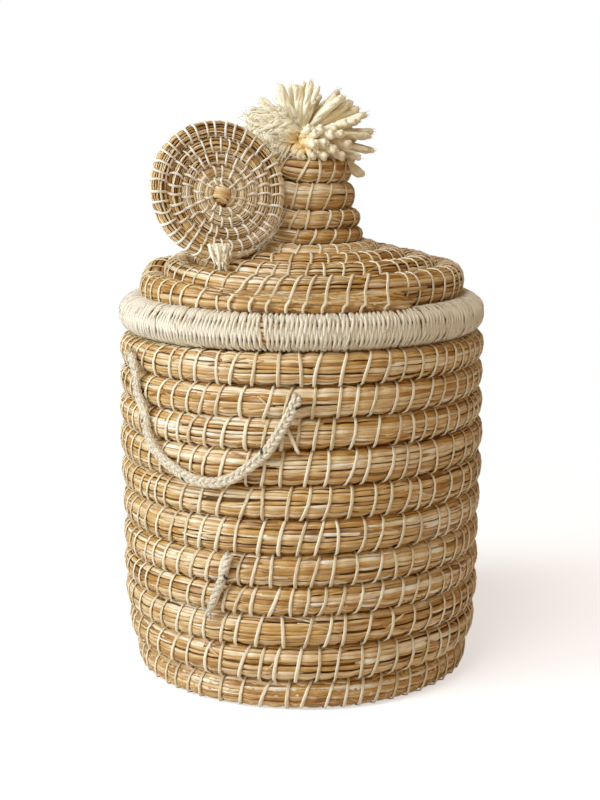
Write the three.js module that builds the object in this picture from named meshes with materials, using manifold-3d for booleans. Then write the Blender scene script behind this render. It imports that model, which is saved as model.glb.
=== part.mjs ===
// Lidded storage basket, sewn from coils of dry grass.
// Millimetres, +Z up, the front faces -Y, the origin is the middle of the floor's underside.
// Angles and turns start at the front and run towards +X, as the coils climb.

import * as THREE from 'three';
import { mergeVertices } from 'three/addons/utils/BufferGeometryUtils.js';
import Module from 'manifold-3d';

const wasm = await Module();
wasm.setup();

// Clearances
const turnGap = 0.6;            // between one turn of a coil and the next
const seatGap = 0.3;            // between two pieces that touch

// Body coil: the floor's spiral and the wall's courses are one grass coil
const wallRadius = 108;         // outside of the upper wall
const coilWidth = 18.4;         // through the wall
const floorTurns = 4;           // from the knot to the wall
const floorStart = 4.6;         // turns before the wall that the coil starts, as a thin end
const floorKnotRadius = 6.2;    // of the knot that the coil starts from
const courseHeights = [17.7, 20.3, 18.6, 16.5, 18.0, 19.7, 18.6, 20.2, 17.5, 17.5, 17.4];
const flatCut = 0.5;            // ground off the coil where it stands
const bellyRise = 140;          // height where the wall reaches its full radius
const bellyDraw = 3.2;          // how far the wall draws in from there to the foot
const footTuck = 9;             // how far the lowest courses tuck under
const footTuckRise = 14;        // height over which that dies out
const stepFrom = 0.3;           // share of a turn where a course starts to move up or out
const stepTo = 0.7;
const firstClimbTo = 0.5;       // the coil is up on its last floor turn before that has moved out
const courseDrift = 0.35;       // share of the climb that is spread over the whole turn
const wallEnd = 0.38;           // share of a turn by which the top course tapers out early

// Rim: a coil whipped all round with yarn
const rimWidth = 22.2;
const rimHeight = 20.8;
const rimSteps = 48;
const rimSides = 12;

// Lid coil, from the neck's mouth to the outer course, as each course passes the front
const lidRadii = [22.0, 23.5, 27.0, 28.0, 38.2, 51.9, 68.8, 86.4];
const lidLevels = [64.3, 49.2, 36.2, 26.6, 16.1, 10.5, 5.9, 0];     // above the outer course
const lidHalfWidths = [7.0, 7.2, 7.0, 7.2, 7.2, 9.3, 9.5, 8.8];
const lidHalfHeights = [6.8, 7.4, 4.9, 4.1, 6.0, 7.8, 8.6, 9.5];
const lidStart = 0.12;          // share of a turn that the coil starts before the front
const lidStepFrom = 0.72;       // each course steps down and out at the left of the front
const lidStepTo = 1;
const lidDrift = 0.06;
const tailReach = 12.5;         // how far out the lid coil's thin end lies on the rim
const tailEnd = 0.1;            // share of a turn that it runs on past the front
const tailBlunt = 0.06;         // share of a turn that its point is short of

// Rosette: a small coiled disc that stands on the lid and leans on its neck
const rosetteRadius = 39.2;
const rosetteTurns = 5;
const rosetteStart = 0.45;      // share of a turn that its coil starts before the top
const rosetteEnd = 0.42;        // share of a turn by which the last one ends early
const rosetteFirstWidth = 4.8;  // a turn's width where the disc starts
const rosetteWidening = 0.8;    // by which each turn is wider than the one inside it
const rosetteThickness = 8.4;
const rosetteButtonRadius = 4.6;
const rosetteOffset = 2.8;      // of the outline's middle from the button, upwards
const rosetteBearing = 44.2;    // degrees to the left of the front, round the neck
const rosetteOffNeck = 2.6;     // from the neck's side to the disc's near edge, level with its button
const rosetteTurned = 22;       // degrees, to face +X a little
const rosetteLean = 12;         // degrees, backwards

// Wool tie that sews the rosette's foot to the lid
const tieRadius = 6.8;
const tieLength = 17;
const tieRaise = 0.2;           // of its middle above the disc's foot
const tieAside = 4.5;           // to the left
const tieBedding = 0.8;         // by which the wool beds down beside the disc's edge

// Pompom of thick yarn in the neck's mouth
const pompomHeart = 17;         // height of its middle above the neck's outer top course
const pompomReach = 41;         // sideways
const pompomRise = 34;          // upwards
const pompomDroop = 25;         // downwards
const pompomCore = 0.62;        // share of the reach that is solid
const tuftCount = 58;
const tuftLowest = -0.4;        // how far down the tufts point, as a share of straight down
const tuftTip = 4.4;            // radius of a tuft near its end
const tuftRoot = 3.0;
const tuftUneven = 0.06;        // share by which the tufts' lengths differ
const tuftRhythm = 2.4;
const rootReach = 24;           // of the tufts' roots from the heart's middle, sideways
const rootRise = 16;            // and upwards
const stemDepth = 9;            // of the bound foot inside the neck

// Cords laid on the wall: [degrees round from the front, height], at their middle
const cordRadius = 2.5;
const cordGap = 0.6;            // between the middle of the cord's underside and the wall
const cordStep = 6;
const cordSides = 8;
const swagRoute = [
  [-59.8, 194], [-57, 184], [-56, 173], [-52, 163], [-50.5, 151], [-46, 142], [-40, 136],
  [-33, 131.5], [-26, 130.5], [-20, 134], [-14.5, 141.5], [-10, 150], [-7, 160], [-4.6, 170],
  [-2.4, 180],
];
const shortRoute = [[-20.2, 90], [-21.9, 80.6], [-23.2, 73], [-24.9, 66], [-26.8, 58]];
const swagTieShares = [0.24, 0.49, 0.8, 0.975];     // of the swag's length
const shortTieShares = [0.32];
const threadRadius = 0.8;
const threadArc = 210;          // degrees of the cord that a thread tie goes round
const threadSteps = 8;
const threadSides = 5;

const straw = { color: 0xc6a164, roughness: 0.75, metalness: 0 };
const strawDark = { color: 0xb08a4e, roughness: 0.78, metalness: 0 };
const cream = { color: 0xe6dcc4, roughness: 0.92, metalness: 0 };
const thread = { color: 0xb9b6ac, roughness: 0.9, metalness: 0 };

const coilSteps = 24;           // steps in a turn
const coilSides = 6;
const halfCoil = coilWidth / 2;
const rad = THREE.MathUtils.degToRad;

const group = new THREE.Group();

function addMesh(parent, name, geometry, finish) {
  const mesh = new THREE.Mesh(geometry, new THREE.MeshStandardMaterial(finish));
  mesh.name = name;
  parent.add(mesh);
  return mesh;
}

function smooth(share) {
  const x = Math.min(1, Math.max(0, share));
  return x * x * (3 - 2 * x);
}

// Turns counted so that most of each step to the next turn is made between two shares of it,
// and the rest, the drift, evenly.
function stepped(turn, from, to, drift) {
  const whole = Math.floor(turn);
  const share = turn - whole;
  return whole + drift * share + (1 - drift) * smooth((share - from) / (to - from));
}

function listAt(list, place) {
  const x = Math.min(list.length - 1, Math.max(0, place));
  const i = Math.min(list.length - 2, Math.floor(x));
  return list[i] + (list[i + 1] - list[i]) * (x - i);
}

// A six-sided section in the plane through the axis, with a flat top and bottom and a point
// at each side. ring = { radius, level, halfWidth, halfHeight }
function sectionPoint(ring, side) {
  const angle = (side * 2 * Math.PI) / coilSides;
  const flat = Math.cos(Math.PI / coilSides);
  return {
    radius: ring.radius + ring.halfWidth * Math.cos(angle),
    level: ring.level + (ring.halfHeight / flat) * Math.sin(angle),
  };
}

// One unbroken tube that follows ringAt(turn), capped at both ends.
function coilGeometry(ringAt, fromTurn, toTurn, ground = -Infinity) {
  const steps = Math.round((toTurn - fromTurn) * coilSteps);
  const positions = [];
  for (let i = 0; i <= steps; i++) {
    const turn = fromTurn + ((toTurn - fromTurn) * i) / steps;
    const angle = 2 * Math.PI * turn;
    const ring = ringAt(turn);
    for (let side = 0; side < coilSides; side++) {
      const point = sectionPoint(ring, side);
      positions.push(
        point.radius * Math.sin(angle),
        -point.radius * Math.cos(angle),
        Math.max(point.level, ground),
      );
    }
  }
  const index = [];
  for (let i = 0; i < steps; i++) {
    for (let side = 0; side < coilSides; side++) {
      const a = i * coilSides + side;
      const b = i * coilSides + ((side + 1) % coilSides);
      index.push(a, a + coilSides, b + coilSides, a, b + coilSides, b);
    }
  }
  const last = steps * coilSides;
  for (let side = 1; side < coilSides - 1; side++) {
    index.push(0, side, side + 1);
    index.push(last, last + side + 1, last + side);
  }
  const geometry = new THREE.BufferGeometry();
  geometry.setAttribute('position', new THREE.Float32BufferAttribute(positions, 3));
  geometry.setIndex(index);
  geometry.computeVertexNormals();
  return geometry;
}

function pointToEdge(p, a, b) {
  const dx = b.radius - a.radius;
  const dz = b.level - a.level;
  const along = ((p.radius - a.radius) * dx + (p.level - a.level) * dz) / (dx * dx + dz * dz);
  const t = Math.min(1, Math.max(0, along));
  return Math.hypot(p.radius - a.radius - dx * t, p.level - a.level - dz * t);
}

// Least gap of a coil to itself: each corner of a section against the edges of the section
// one turn on, and the other way round.
function leastGap(ringAt, fromTurn, toTurn) {
  let least = Infinity;
  const sides = [...Array(coilSides).keys()];
  for (let turn = fromTurn; turn + 1 <= toTurn; turn += 1 / (4 * coilSteps)) {
    const here = sides.map((side) => sectionPoint(ringAt(turn), side));
    const next = sides.map((side) => sectionPoint(ringAt(turn + 1), side));
    for (const side of sides) {
      const other = (side + 1) % coilSides;
      for (const corner of here) {
        least = Math.min(least, pointToEdge(corner, next[side], next[other]));
      }
      for (const corner of next) {
        least = Math.min(least, pointToEdge(corner, here[side], here[other]));
      }
    }
  }
  return least;
}

function addCoil(parent, name, ringAt, fromTurn, toTurn, finish, ground) {
  console.log(`${name} least gap to itself ${leastGap(ringAt, fromTurn, toTurn).toFixed(2)} mm`);
  return addMesh(parent, name, coilGeometry(ringAt, fromTurn, toTurn, ground), finish);
}

// Body coil. The floor spirals out from its knot, each turn moving out behind the basket;
// there the coil climbs onto itself, and each later course climbs at the same place.
const wallTop = courseHeights.reduce((sum, height) => sum + height, 0);
const footLevel = courseHeights[0] / 2;

function wallOutside(level) {
  const belly = Math.max(0, 1 - level / bellyRise);
  return wallRadius - bellyDraw * belly * belly - footTuck * Math.exp(-level / footTuckRise);
}

const footRadius = wallOutside(footLevel) - halfCoil;
const footInside = footRadius - halfCoil;
const courseLevels = courseHeights.reduce((levels, height) => [...levels, levels.at(-1) + height], [0]);

function courseUnderside(turn) {
  const first = turn < 1;
  const place = stepped(turn, stepFrom, first ? firstClimbTo : stepTo, first ? 0 : courseDrift);
  return listAt(courseLevels, place);
}

// The floor's turns share the room from the knot's side, where the middle of the coil starts, to
// the wall's first course. This is the radius of the line between a turn and the one inside it.
const floorPitch = (footInside - turnGap / 2 - floorKnotRadius) / floorTurns;

function floorEdge(turn) {
  return footInside - turnGap / 2 + floorPitch * stepped(turn, stepFrom, stepTo, 0);
}

function bodyRing(turn) {
  if (turn < 0) {
    const outer = Math.min(floorEdge(turn + 1) - turnGap / 2, footRadius + halfCoil);
    const inner = Math.max(floorEdge(turn) + turnGap / 2, floorKnotRadius + seatGap);
    const halfWidth = (outer - inner) / 2;
    const top = Math.min(courseHeights[0] - turnGap / 2, 4 * halfWidth);
    return {
      radius: (outer + inner) / 2,
      level: (top - flatCut) / 2,
      halfWidth,
      halfHeight: (top + flatCut) / 2,
    };
  }
  const raised = courseUnderside(turn);
  const low = raised > 0 ? raised + turnGap / 2 : -flatCut;
  const high = Math.min(courseUnderside(turn + 1), wallTop) - turnGap / 2;
  const level = (low + high) / 2;
  const halfHeight = (high - low) / 2;
  const halfWidth = Math.min(halfCoil, 2 * halfHeight);
  return { radius: wallOutside(level) - halfWidth, level, halfWidth, halfHeight };
}

addCoil(group, 'body_coil', bodyRing, -floorStart, courseHeights.length - wallEnd, straw, 0);

// A round button with a crown of two slopes on its top.
function buttonGeometry(radius, bottom, top, crown) {
  const profile = [
    new THREE.Vector2(0, bottom),
    new THREE.Vector2(radius, bottom),
    new THREE.Vector2(radius, top - crown),
    new THREE.Vector2(radius * 0.7, top - crown * 0.3),
    new THREE.Vector2(0, top),
  ];
  return new THREE.LatheGeometry(profile, 18).rotateX(Math.PI / 2);
}

const knotHeight = courseHeights[0] - turnGap / 2;
const knotCrown = 2.5;
addMesh(group, 'floor_knot', buttonGeometry(floorKnotRadius, 0, knotHeight, knotCrown), strawDark);

// Rim
const rimMiddle = wallRadius - rimWidth / 2;
const rimLevel = wallTop + seatGap + rimHeight / 2;

function rimTopAt(radius) {
  const across = Math.min(1, Math.abs(radius - rimMiddle) / (rimWidth / 2));
  return rimLevel + (rimHeight / 2) * Math.sqrt(1 - across * across);
}

const rimProfile = [];
for (let side = 0; side <= rimSides; side++) {
  const angle = (side * 2 * Math.PI) / rimSides;
  rimProfile.push(new THREE.Vector2(
    rimMiddle + (rimWidth / 2) * Math.cos(angle),
    (rimHeight / 2) * Math.sin(angle),
  ));
}
rimProfile[rimSides].copy(rimProfile[0]);
const rimGeometry = new THREE.LatheGeometry(rimProfile, rimSteps).rotateX(Math.PI / 2);
addMesh(group, 'whipped_rim', rimGeometry, cream).position.z = rimLevel;

// Lid: one coil from the neck's mouth, down the neck and out over the lid to a thin end
// that lies on the rim.
const lidOuter = lidRadii.length - 1;

// Height of a course's middle when the flat under it lies on the rim.
function levelOnRim(radius, halfWidth, halfHeight) {
  const nearest = THREE.MathUtils.clamp(rimMiddle, radius - halfWidth / 2, radius + halfWidth / 2);
  return rimTopAt(nearest) + seatGap + halfHeight;
}

const lidSeat = levelOnRim(lidRadii[lidOuter], lidHalfWidths[lidOuter], lidHalfHeights[lidOuter]);
const neckMouth = lidSeat + lidLevels[0] + lidHalfHeights[0];

function lidRing(turn) {
  const place = stepped(turn, lidStepFrom, lidStepTo, lidDrift);
  const halfWidth = listAt(lidHalfWidths, place);
  const halfHeight = listAt(lidHalfHeights, place);
  if (turn < 0) {
    const below = lidRing(turn + 1);
    const low = below.level + below.halfHeight + turnGap;
    return {
      radius: lidRadii[0],
      level: (neckMouth + low) / 2,
      halfWidth: Math.min(halfWidth, neckMouth - low),
      halfHeight: (neckMouth - low) / 2,
    };
  }
  if (turn > lidOuter + lidStepFrom) {
    const past = turn - lidOuter - lidStepFrom;
    const left = 1 - past / (lidStepTo - lidStepFrom + tailEnd + tailBlunt);
    const radius = lidRadii[lidOuter] + tailReach * smooth(past / (lidStepTo - lidStepFrom));
    const thin = { halfWidth: halfWidth * left, halfHeight: halfHeight * left };
    return { radius, level: levelOnRim(radius, thin.halfWidth, thin.halfHeight), ...thin };
  }
  const level = lidSeat + listAt(lidLevels, place);
  return { radius: listAt(lidRadii, place), level, halfWidth, halfHeight };
}

const lid = new THREE.Group();
group.add(lid);
addCoil(lid, 'lid_coil', lidRing, -lidStart, lidOuter + 1 + tailEnd, straw);

// Height of the lid's surface over a point: the highest course that the point lies over.
function lidTopOver(x, y) {
  const radius = Math.hypot(x, y);
  const share = Math.atan2(x, -y) / (2 * Math.PI);
  let top = -Infinity;
  for (let turn = share < 0 ? share + 1 : share; turn <= lidOuter + 1; turn++) {
    const ring = lidRing(turn);
    const inwards = 1 - Math.abs(radius - ring.radius) / ring.halfWidth;
    if (inwards >= 0) top = Math.max(top, ring.level + ring.halfHeight * Math.min(1, 2 * inwards));
  }
  return top;
}

// Rosette. In its own frame -Y is up, Z faces the front and X runs to the left.
const rosette = new THREE.Group();
const facing = new THREE.Vector3(0, -1, 0)
  .applyAxisAngle(new THREE.Vector3(1, 0, 0), -rad(rosetteLean))
  .applyAxisAngle(new THREE.Vector3(0, 0, 1), rad(rosetteTurned));
const across = new THREE.Vector3(-Math.cos(rad(rosetteTurned)), -Math.sin(rad(rosetteTurned)), 0);
const downwards = new THREE.Vector3().crossVectors(facing, across);
rosette.quaternion.setFromRotationMatrix(new THREE.Matrix4().makeBasis(across, downwards, facing));
lid.add(rosette);

// Radius of the line between one turn of the disc and the next.
function rosetteEdge(turn) {
  const place = stepped(turn, stepFrom, stepTo, courseDrift);
  const widened = (rosetteFirstWidth + (rosetteWidening * place) / 2) * place;
  const round = Math.min(rosetteRadius, rosetteButtonRadius + widened);
  const outwards = round / rosetteRadius;
  return round + rosetteOffset * outwards * outwards * Math.cos(2 * Math.PI * turn);
}

function rosetteRing(turn) {
  const inner = turn < 0 ? rosetteButtonRadius + seatGap : rosetteEdge(turn) + turnGap / 2;
  const outer = rosetteEdge(turn + 1) - turnGap / 2;
  const halfWidth = (outer - inner) / 2;
  return {
    radius: (outer + inner) / 2,
    level: 0,
    halfWidth,
    halfHeight: Math.min(rosetteThickness / 2, 2 * halfWidth),
  };
}

const rosetteLast = rosetteTurns - rosetteEnd;
addCoil(rosette, 'rosette_coil', rosetteRing, -rosetteStart, rosetteLast, straw);
const buttonBack = -rosetteThickness / 2;
const buttonProud = 1.2;
const buttonCrown = 1.8;
const buttonFront = rosetteThickness / 2 + buttonProud;
const rosetteButton = buttonGeometry(rosetteButtonRadius, buttonBack, buttonFront, buttonCrown);
addMesh(rosette, 'rosette_button', rosetteButton, strawDark);

// The disc leans towards the neck: its near edge is off the neck's side, level with the button.
const neckSide = lidRadii[1] + lidHalfWidths[1] + rosetteOffNeck;
const bearing = new THREE.Vector3(-Math.sin(rad(rosetteBearing)), -Math.cos(rad(rosetteBearing)), 0);
const sideways = bearing.dot(across);
const fromEdge = Math.sqrt(neckSide ** 2 - rosetteRadius ** 2 * (1 - sideways ** 2));
rosette.position.copy(bearing).multiplyScalar(rosetteRadius * sideways + fromEdge);

// It is lowered until its outermost turn is a seat's gap above the courses under it.
let rosetteLevel = lidSeat;
for (let turn = rosetteLast - 1; turn <= rosetteLast; turn += 1 / (2 * coilSteps)) {
  const angle = 2 * Math.PI * turn;
  for (let side = 0; side < coilSides; side++) {
    const { radius, level } = sectionPoint(rosetteRing(turn), side);
    const corner = new THREE.Vector3(radius * Math.sin(angle), -radius * Math.cos(angle), level)
      .applyQuaternion(rosette.quaternion)
      .add(rosette.position);
    rosetteLevel = Math.max(rosetteLevel, lidTopOver(corner.x, corner.y) + seatGap - corner.z);
  }
}
rosette.position.z = rosetteLevel;

// Wool tie in front of the rosette's foot, on which it tips forward.
const woolTie = new THREE.LatheGeometry([
  new THREE.Vector2(0, -tieLength / 2),
  new THREE.Vector2(tieRadius * 0.62, -tieLength * 0.42),
  new THREE.Vector2(tieRadius * 0.95, -tieLength * 0.2),
  new THREE.Vector2(tieRadius, 0),
  new THREE.Vector2(tieRadius * 0.9, tieLength * 0.22),
  new THREE.Vector2(tieRadius * 0.55, tieLength * 0.43),
  new THREE.Vector2(0, tieLength / 2),
], 12).rotateZ(-Math.PI / 2);
const tieMesh = addMesh(rosette, 'rosette_tie', woolTie, cream);
const discFoot = rosetteRadius - rosetteOffset;
const tieOut = rosetteThickness / 2 + seatGap + tieRadius - tieBedding;
tieMesh.position.set(tieAside, discFoot - tieRaise, tieOut);

// Pompom: a round heart of bound yarn, tufts that fan out of it, and a stem in the neck.
function solidOf(geometry) {
  const bare = geometry.clone();
  bare.deleteAttribute('normal');
  bare.deleteAttribute('uv');
  const merged = mergeVertices(bare, 1e-4);
  return new wasm.Manifold(new wasm.Mesh({
    numProp: 3,
    vertProperties: new Float32Array(merged.attributes.position.array),
    triVerts: new Uint32Array(merged.index.array),
  }));
}

function geometryOf(solid) {
  const mesh = solid.getMesh();
  const geometry = new THREE.BufferGeometry();
  geometry.setAttribute('position', new THREE.BufferAttribute(mesh.vertProperties, 3));
  geometry.setIndex(new THREE.BufferAttribute(mesh.triVerts, 1));
  geometry.computeVertexNormals();
  return geometry;
}

const heartLevel = lidSeat + lidLevels[0] + pompomHeart;

// Distance from the heart to the pompom's outline, a full-cheeked oval.
function pompomExtent(direction) {
  const upright = direction.z > 0 ? pompomRise : pompomDroop;
  const flat = Math.hypot(direction.x, direction.y) / pompomReach;
  return 1 / Math.cbrt(flat ** 3 + Math.abs(direction.z / upright) ** 3);
}

// A tuft from its root inside the heart to a blunt tip.
function tuftGeometry(root, tip) {
  const direction = tip.clone().sub(root);
  const length = direction.length();
  const bluntEnd = tuftTip * 0.55;
  const profile = [
    new THREE.Vector2(0, 0),
    new THREE.Vector2(tuftRoot, 0),
    new THREE.Vector2(tuftTip, length - tuftTip),
    new THREE.Vector2(bluntEnd, length),
    new THREE.Vector2(0, length),
  ];
  const up = new THREE.Vector3(0, 1, 0);
  return new THREE.LatheGeometry(profile, 5)
    .applyQuaternion(new THREE.Quaternion().setFromUnitVectors(up, direction.normalize()))
    .translate(root.x, root.y, root.z);
}

const goldenAngle = Math.PI * (3 - Math.sqrt(5));
const heart = new THREE.SphereGeometry(1, 14, 9).rotateX(Math.PI / 2)
  .scale(pompomReach * pompomCore, pompomReach * pompomCore, pompomRise * pompomCore);
let pompomSolid = solidOf(heart);
for (let i = 0; i < tuftCount; i++) {
  const height = 1 - ((i + 0.5) * (1 - tuftLowest)) / tuftCount;
  const flat = Math.sqrt(1 - height * height);
  const angle = i * goldenAngle;
  const direction = new THREE.Vector3(flat * Math.cos(angle), flat * Math.sin(angle), height);
  const length = 1 - tuftUneven * (1 - Math.sin(i * tuftRhythm));
  const tip = direction.clone().multiplyScalar(pompomExtent(direction) * length);
  const root = new THREE.Vector3(rootReach, rootReach, height > 0 ? rootRise : 0).multiply(direction);
  pompomSolid = pompomSolid.add(solidOf(tuftGeometry(root, tip)));
}
pompomSolid = pompomSolid.translate([0, 0, heartLevel]);

const mouthRadius = lidRadii[0] - lidHalfWidths[0] - seatGap;
const neckOutside = lidRadii[1] + lidHalfWidths[1] + seatGap;
const neckRoom = new THREE.LatheGeometry([
  new THREE.Vector2(mouthRadius, lidSeat),
  new THREE.Vector2(neckOutside, lidSeat),
  new THREE.Vector2(neckOutside, neckMouth + seatGap),
  new THREE.Vector2(mouthRadius, neckMouth + seatGap),
  new THREE.Vector2(mouthRadius, lidSeat),
], 24).rotateX(Math.PI / 2);
const stem = buttonGeometry(mouthRadius, neckMouth - stemDepth, heartLevel, 0);
const roomRadius = rosetteRadius + rosetteOffset + seatGap;
const roomDepth = 2 * rosetteRadius;
const rosetteRoom = new THREE.CylinderGeometry(roomRadius, roomRadius, roomDepth, 36)
  .rotateX(Math.PI / 2)
  .translate(0, 0, roomDepth / 2 - rosetteThickness / 2 - seatGap);
rosette.updateMatrix();
rosetteRoom.applyMatrix4(rosette.matrix);
pompomSolid = pompomSolid
  .add(solidOf(stem))
  .subtract(solidOf(neckRoom))
  .subtract(solidOf(rosetteRoom));
addMesh(lid, 'pompom', geometryOf(pompomSolid), cream);

// Cords sewn to the wall, which is a many-sided round: its faces lie a little inside its corners.
function wallPoint([degrees, level], proud) {
  const step = 360 / coilSteps;
  const fromCorner = degrees - step * Math.floor(degrees / step);
  const inside = Math.cos(rad(step / 2)) / Math.cos(rad(fromCorner - step / 2));
  const radius = wallOutside(level) * inside + proud;
  const angle = rad(degrees);
  return new THREE.Vector3(radius * Math.sin(angle), -radius * Math.cos(angle), level);
}

function cordCurve(route) {
  return new THREE.CatmullRomCurve3(route.map((point) => wallPoint(point, cordRadius + cordGap)));
}

function circleShape(radius, sides) {
  const points = [...Array(sides).keys()].map((side) => {
    const angle = (side * 2 * Math.PI) / sides;
    return new THREE.Vector2(radius * Math.cos(angle), radius * Math.sin(angle));
  });
  return new THREE.Shape(points);
}

function addCord(name, route) {
  const curve = cordCurve(route);
  const geometry = new THREE.ExtrudeGeometry(circleShape(cordRadius, cordSides), {
    steps: Math.round(curve.getLength() / cordStep), extrudePath: curve, bevelEnabled: false,
  });
  addMesh(group, name, geometry, cream);
  return curve;
}

// A thread that goes over the cord and down to the wall on both sides.
function addThreadTie(name, curve, share) {
  const middle = curve.getPointAt(share);
  const along = curve.getTangentAt(share);
  const out = new THREE.Vector3(middle.x, middle.y, 0).normalize();
  const side = new THREE.Vector3().crossVectors(along, out).normalize();
  const over = new THREE.Vector3().crossVectors(side, along);
  const round = cordRadius + seatGap + threadRadius;
  const arc = rad(threadArc);
  const points = [...Array(threadSteps + 1).keys()].map((i) => {
    const angle = (i / threadSteps - 0.5) * arc;
    return middle.clone()
      .addScaledVector(over, round * Math.cos(angle))
      .addScaledVector(side, round * Math.sin(angle));
  });
  const geometry = new THREE.ExtrudeGeometry(circleShape(threadRadius, threadSides), {
    steps: threadSteps, extrudePath: new THREE.CatmullRomCurve3(points), bevelEnabled: false,
  });
  addMesh(group, name, geometry, thread);
}

const swag = addCord('swag_cord', swagRoute);
swagTieShares.forEach((share, i) => addThreadTie(`swag_tie_${i + 1}`, swag, share));
const short = addCord('short_cord', shortRoute);
shortTieShares.forEach((share, i) => addThreadTie(`short_tie_${i + 1}`, short, share));

export default group;
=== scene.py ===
# Lidded storage basket: coils of dry grass sewn with cream thread, a rim whipped with yarn, a lid
# with a neck, a yarn pompom, a coiled rosette and two cords on the wall.
# The object's lengths are millimetres until makePiece turns them into metres.
import math
import bpy
import numpy as np
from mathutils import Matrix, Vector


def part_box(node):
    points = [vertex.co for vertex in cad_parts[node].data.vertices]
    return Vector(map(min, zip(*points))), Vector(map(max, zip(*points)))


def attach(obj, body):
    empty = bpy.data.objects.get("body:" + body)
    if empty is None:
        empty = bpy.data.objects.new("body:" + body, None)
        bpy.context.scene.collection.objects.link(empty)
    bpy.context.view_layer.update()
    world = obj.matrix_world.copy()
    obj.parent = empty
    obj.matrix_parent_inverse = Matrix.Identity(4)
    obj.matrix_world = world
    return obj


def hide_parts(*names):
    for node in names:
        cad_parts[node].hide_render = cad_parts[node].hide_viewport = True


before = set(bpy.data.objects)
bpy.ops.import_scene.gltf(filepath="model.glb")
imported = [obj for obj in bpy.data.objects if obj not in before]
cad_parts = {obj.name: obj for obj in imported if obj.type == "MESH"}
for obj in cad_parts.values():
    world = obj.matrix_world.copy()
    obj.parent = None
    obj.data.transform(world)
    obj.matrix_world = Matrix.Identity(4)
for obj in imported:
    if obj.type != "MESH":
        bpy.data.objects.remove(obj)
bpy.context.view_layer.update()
mm = 0.001
tau = 2 * math.pi
print("frame loaded", len(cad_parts), "nodes")


# Camera
view = {"at": (-0.00095, -0.8895, 0.324), "pitch": 79.4, "lens": 67.5, "sensor": 36}
camera = bpy.data.objects.new("camera", bpy.data.cameras.new("camera"))
bpy.context.collection.objects.link(camera)
camera.location = view["at"]
camera.rotation_euler = (math.radians(view["pitch"]), 0, 0)
camera.data.lens, camera.data.sensor_width = view["lens"], view["sensor"]
bpy.context.scene.camera = camera


# Numbers
def smoothStep(x):
    x = np.clip(x, 0, 1)
    return x * x * (3 - 2 * x)


def stepped(turn, start, end, drift):  # turns, with most of each step made between two shares of it
    whole = np.floor(turn)
    share = turn - whole
    return whole + drift * share + (1 - drift) * smoothStep((share - start) / (end - start))


def listAt(values, place):
    return np.interp(place, np.arange(len(values)), values)


def unit(vectors):
    return vectors / np.maximum(np.linalg.norm(vectors, axis=-1, keepdims=True), 1e-9)


def softPower(x, power):  # keeps the sign
    return np.sign(x) * np.abs(x) ** power


def sidewaysOf(direction):  # a way square to each direction
    helper = np.where(np.abs(direction[..., 2:]) > 0.9, np.array([1.0, 0, 0]), np.array([0, 0, 1.0]))
    return unit(np.cross(direction, helper))


def pathAxes(paths):  # the way along each path [path, point, axis], and two ways square to it
    ahead = unit(np.gradient(paths, axis=1))
    side = sidewaysOf(ahead)
    return ahead, side, np.cross(ahead, side)


def loopAhead(loops):  # the way along closed loops [loop, point, axis]
    return unit(np.roll(loops, -1, 1) - np.roll(loops, 1, 1))


def acrossOf(paths, normal):  # the way along the surface and square to each path on it
    return unit(np.cross(normal, unit(np.gradient(paths, axis=1))))


def outwardOf(points):  # the level way out from the basket's axis
    return unit(points * np.array([1, 1, 0]))


def roundSteps(count):
    return np.linspace(0, tau, count, endpoint=False)


def shares(count):  # from 0 to 1 along paths [path, point, axis]
    return np.linspace(0, 1, count)[None, :, None]


def onBall(height, angle):  # points of a ball with radius 1
    flat = np.sqrt(1 - height ** 2)
    return np.stack([flat * np.cos(angle), flat * np.sin(angle), height], -1)


def cadCorners(node):  # lowest and highest corner in millimetres
    low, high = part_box(node)
    return np.array(low) / mm, np.array(high) / mm


# Meshes
def tubeBatch(centres, sideways, upwards, sides, closed=False, tone=None):
    # Many tubes at once, [tube, ring, axis]: a ring is its centre + cos(a) sideways + sin(a) upwards,
    # and quads join each ring to the next. Ends are capped unless the tubes are closed.
    tubes, rings = centres.shape[:2]
    angle = tau * np.arange(sides) / sides
    ring = np.cos(angle)[:, None] * sideways[:, :, None] + np.sin(angle)[:, None] * upwards[:, :, None]
    points = centres[:, :, None] + ring
    index = np.arange(tubes * rings * sides).reshape(tubes, rings, sides)
    ahead = np.roll(centres, -1, 1) - centres
    length = np.cumsum(np.linalg.norm(ahead, axis=-1), 1)
    before = np.concatenate([np.zeros((tubes, 1)), length[:, :-1]], 1)
    follows, side = np.roll(index, -1, 1), np.roll(index, -1, 2)
    opposite = np.roll(side, -1, 1)
    quads = np.stack([index, side, opposite, follows], -1)
    around = np.broadcast_to(np.arange(sides) / sides, index.shape)
    u = np.stack([np.broadcast_to(x[..., None], index.shape) for x in (before, before, length, length)], -1)
    v = np.stack([around, around + 1 / sides, around + 1 / sides, around], -1)
    used = slice(None) if closed else slice(0, -1)
    handed = np.sum(np.cross(sideways, upwards)[:, :-1] * ahead[:, :-1])
    quads, u, v = (x[:, used].reshape(-1, 4) for x in (quads, u, v))
    caps = np.zeros((0, sides), int) if closed else np.concatenate([index[:, 0, ::-1], index[:, -1]])
    if handed < 0:
        quads, u, v, caps = quads[:, ::-1], u[:, ::-1], v[:, ::-1], caps[:, ::-1]
    capPlace = np.zeros(0) if closed else np.concatenate([np.zeros(tubes), before[:, -1]]).repeat(sides)
    uv = np.concatenate([np.stack([u, v], -1).reshape(-1, 2), np.stack([capPlace, 0 * capPlace], -1)])
    tone = np.zeros(tubes) if tone is None else tone
    tone = np.broadcast_to(tone.reshape(tubes, -1, 1), index.shape)
    return {"points": points.reshape(-1, 3), "faces": [quads, caps], "uv": uv, "tone": tone.ravel()}


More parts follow.
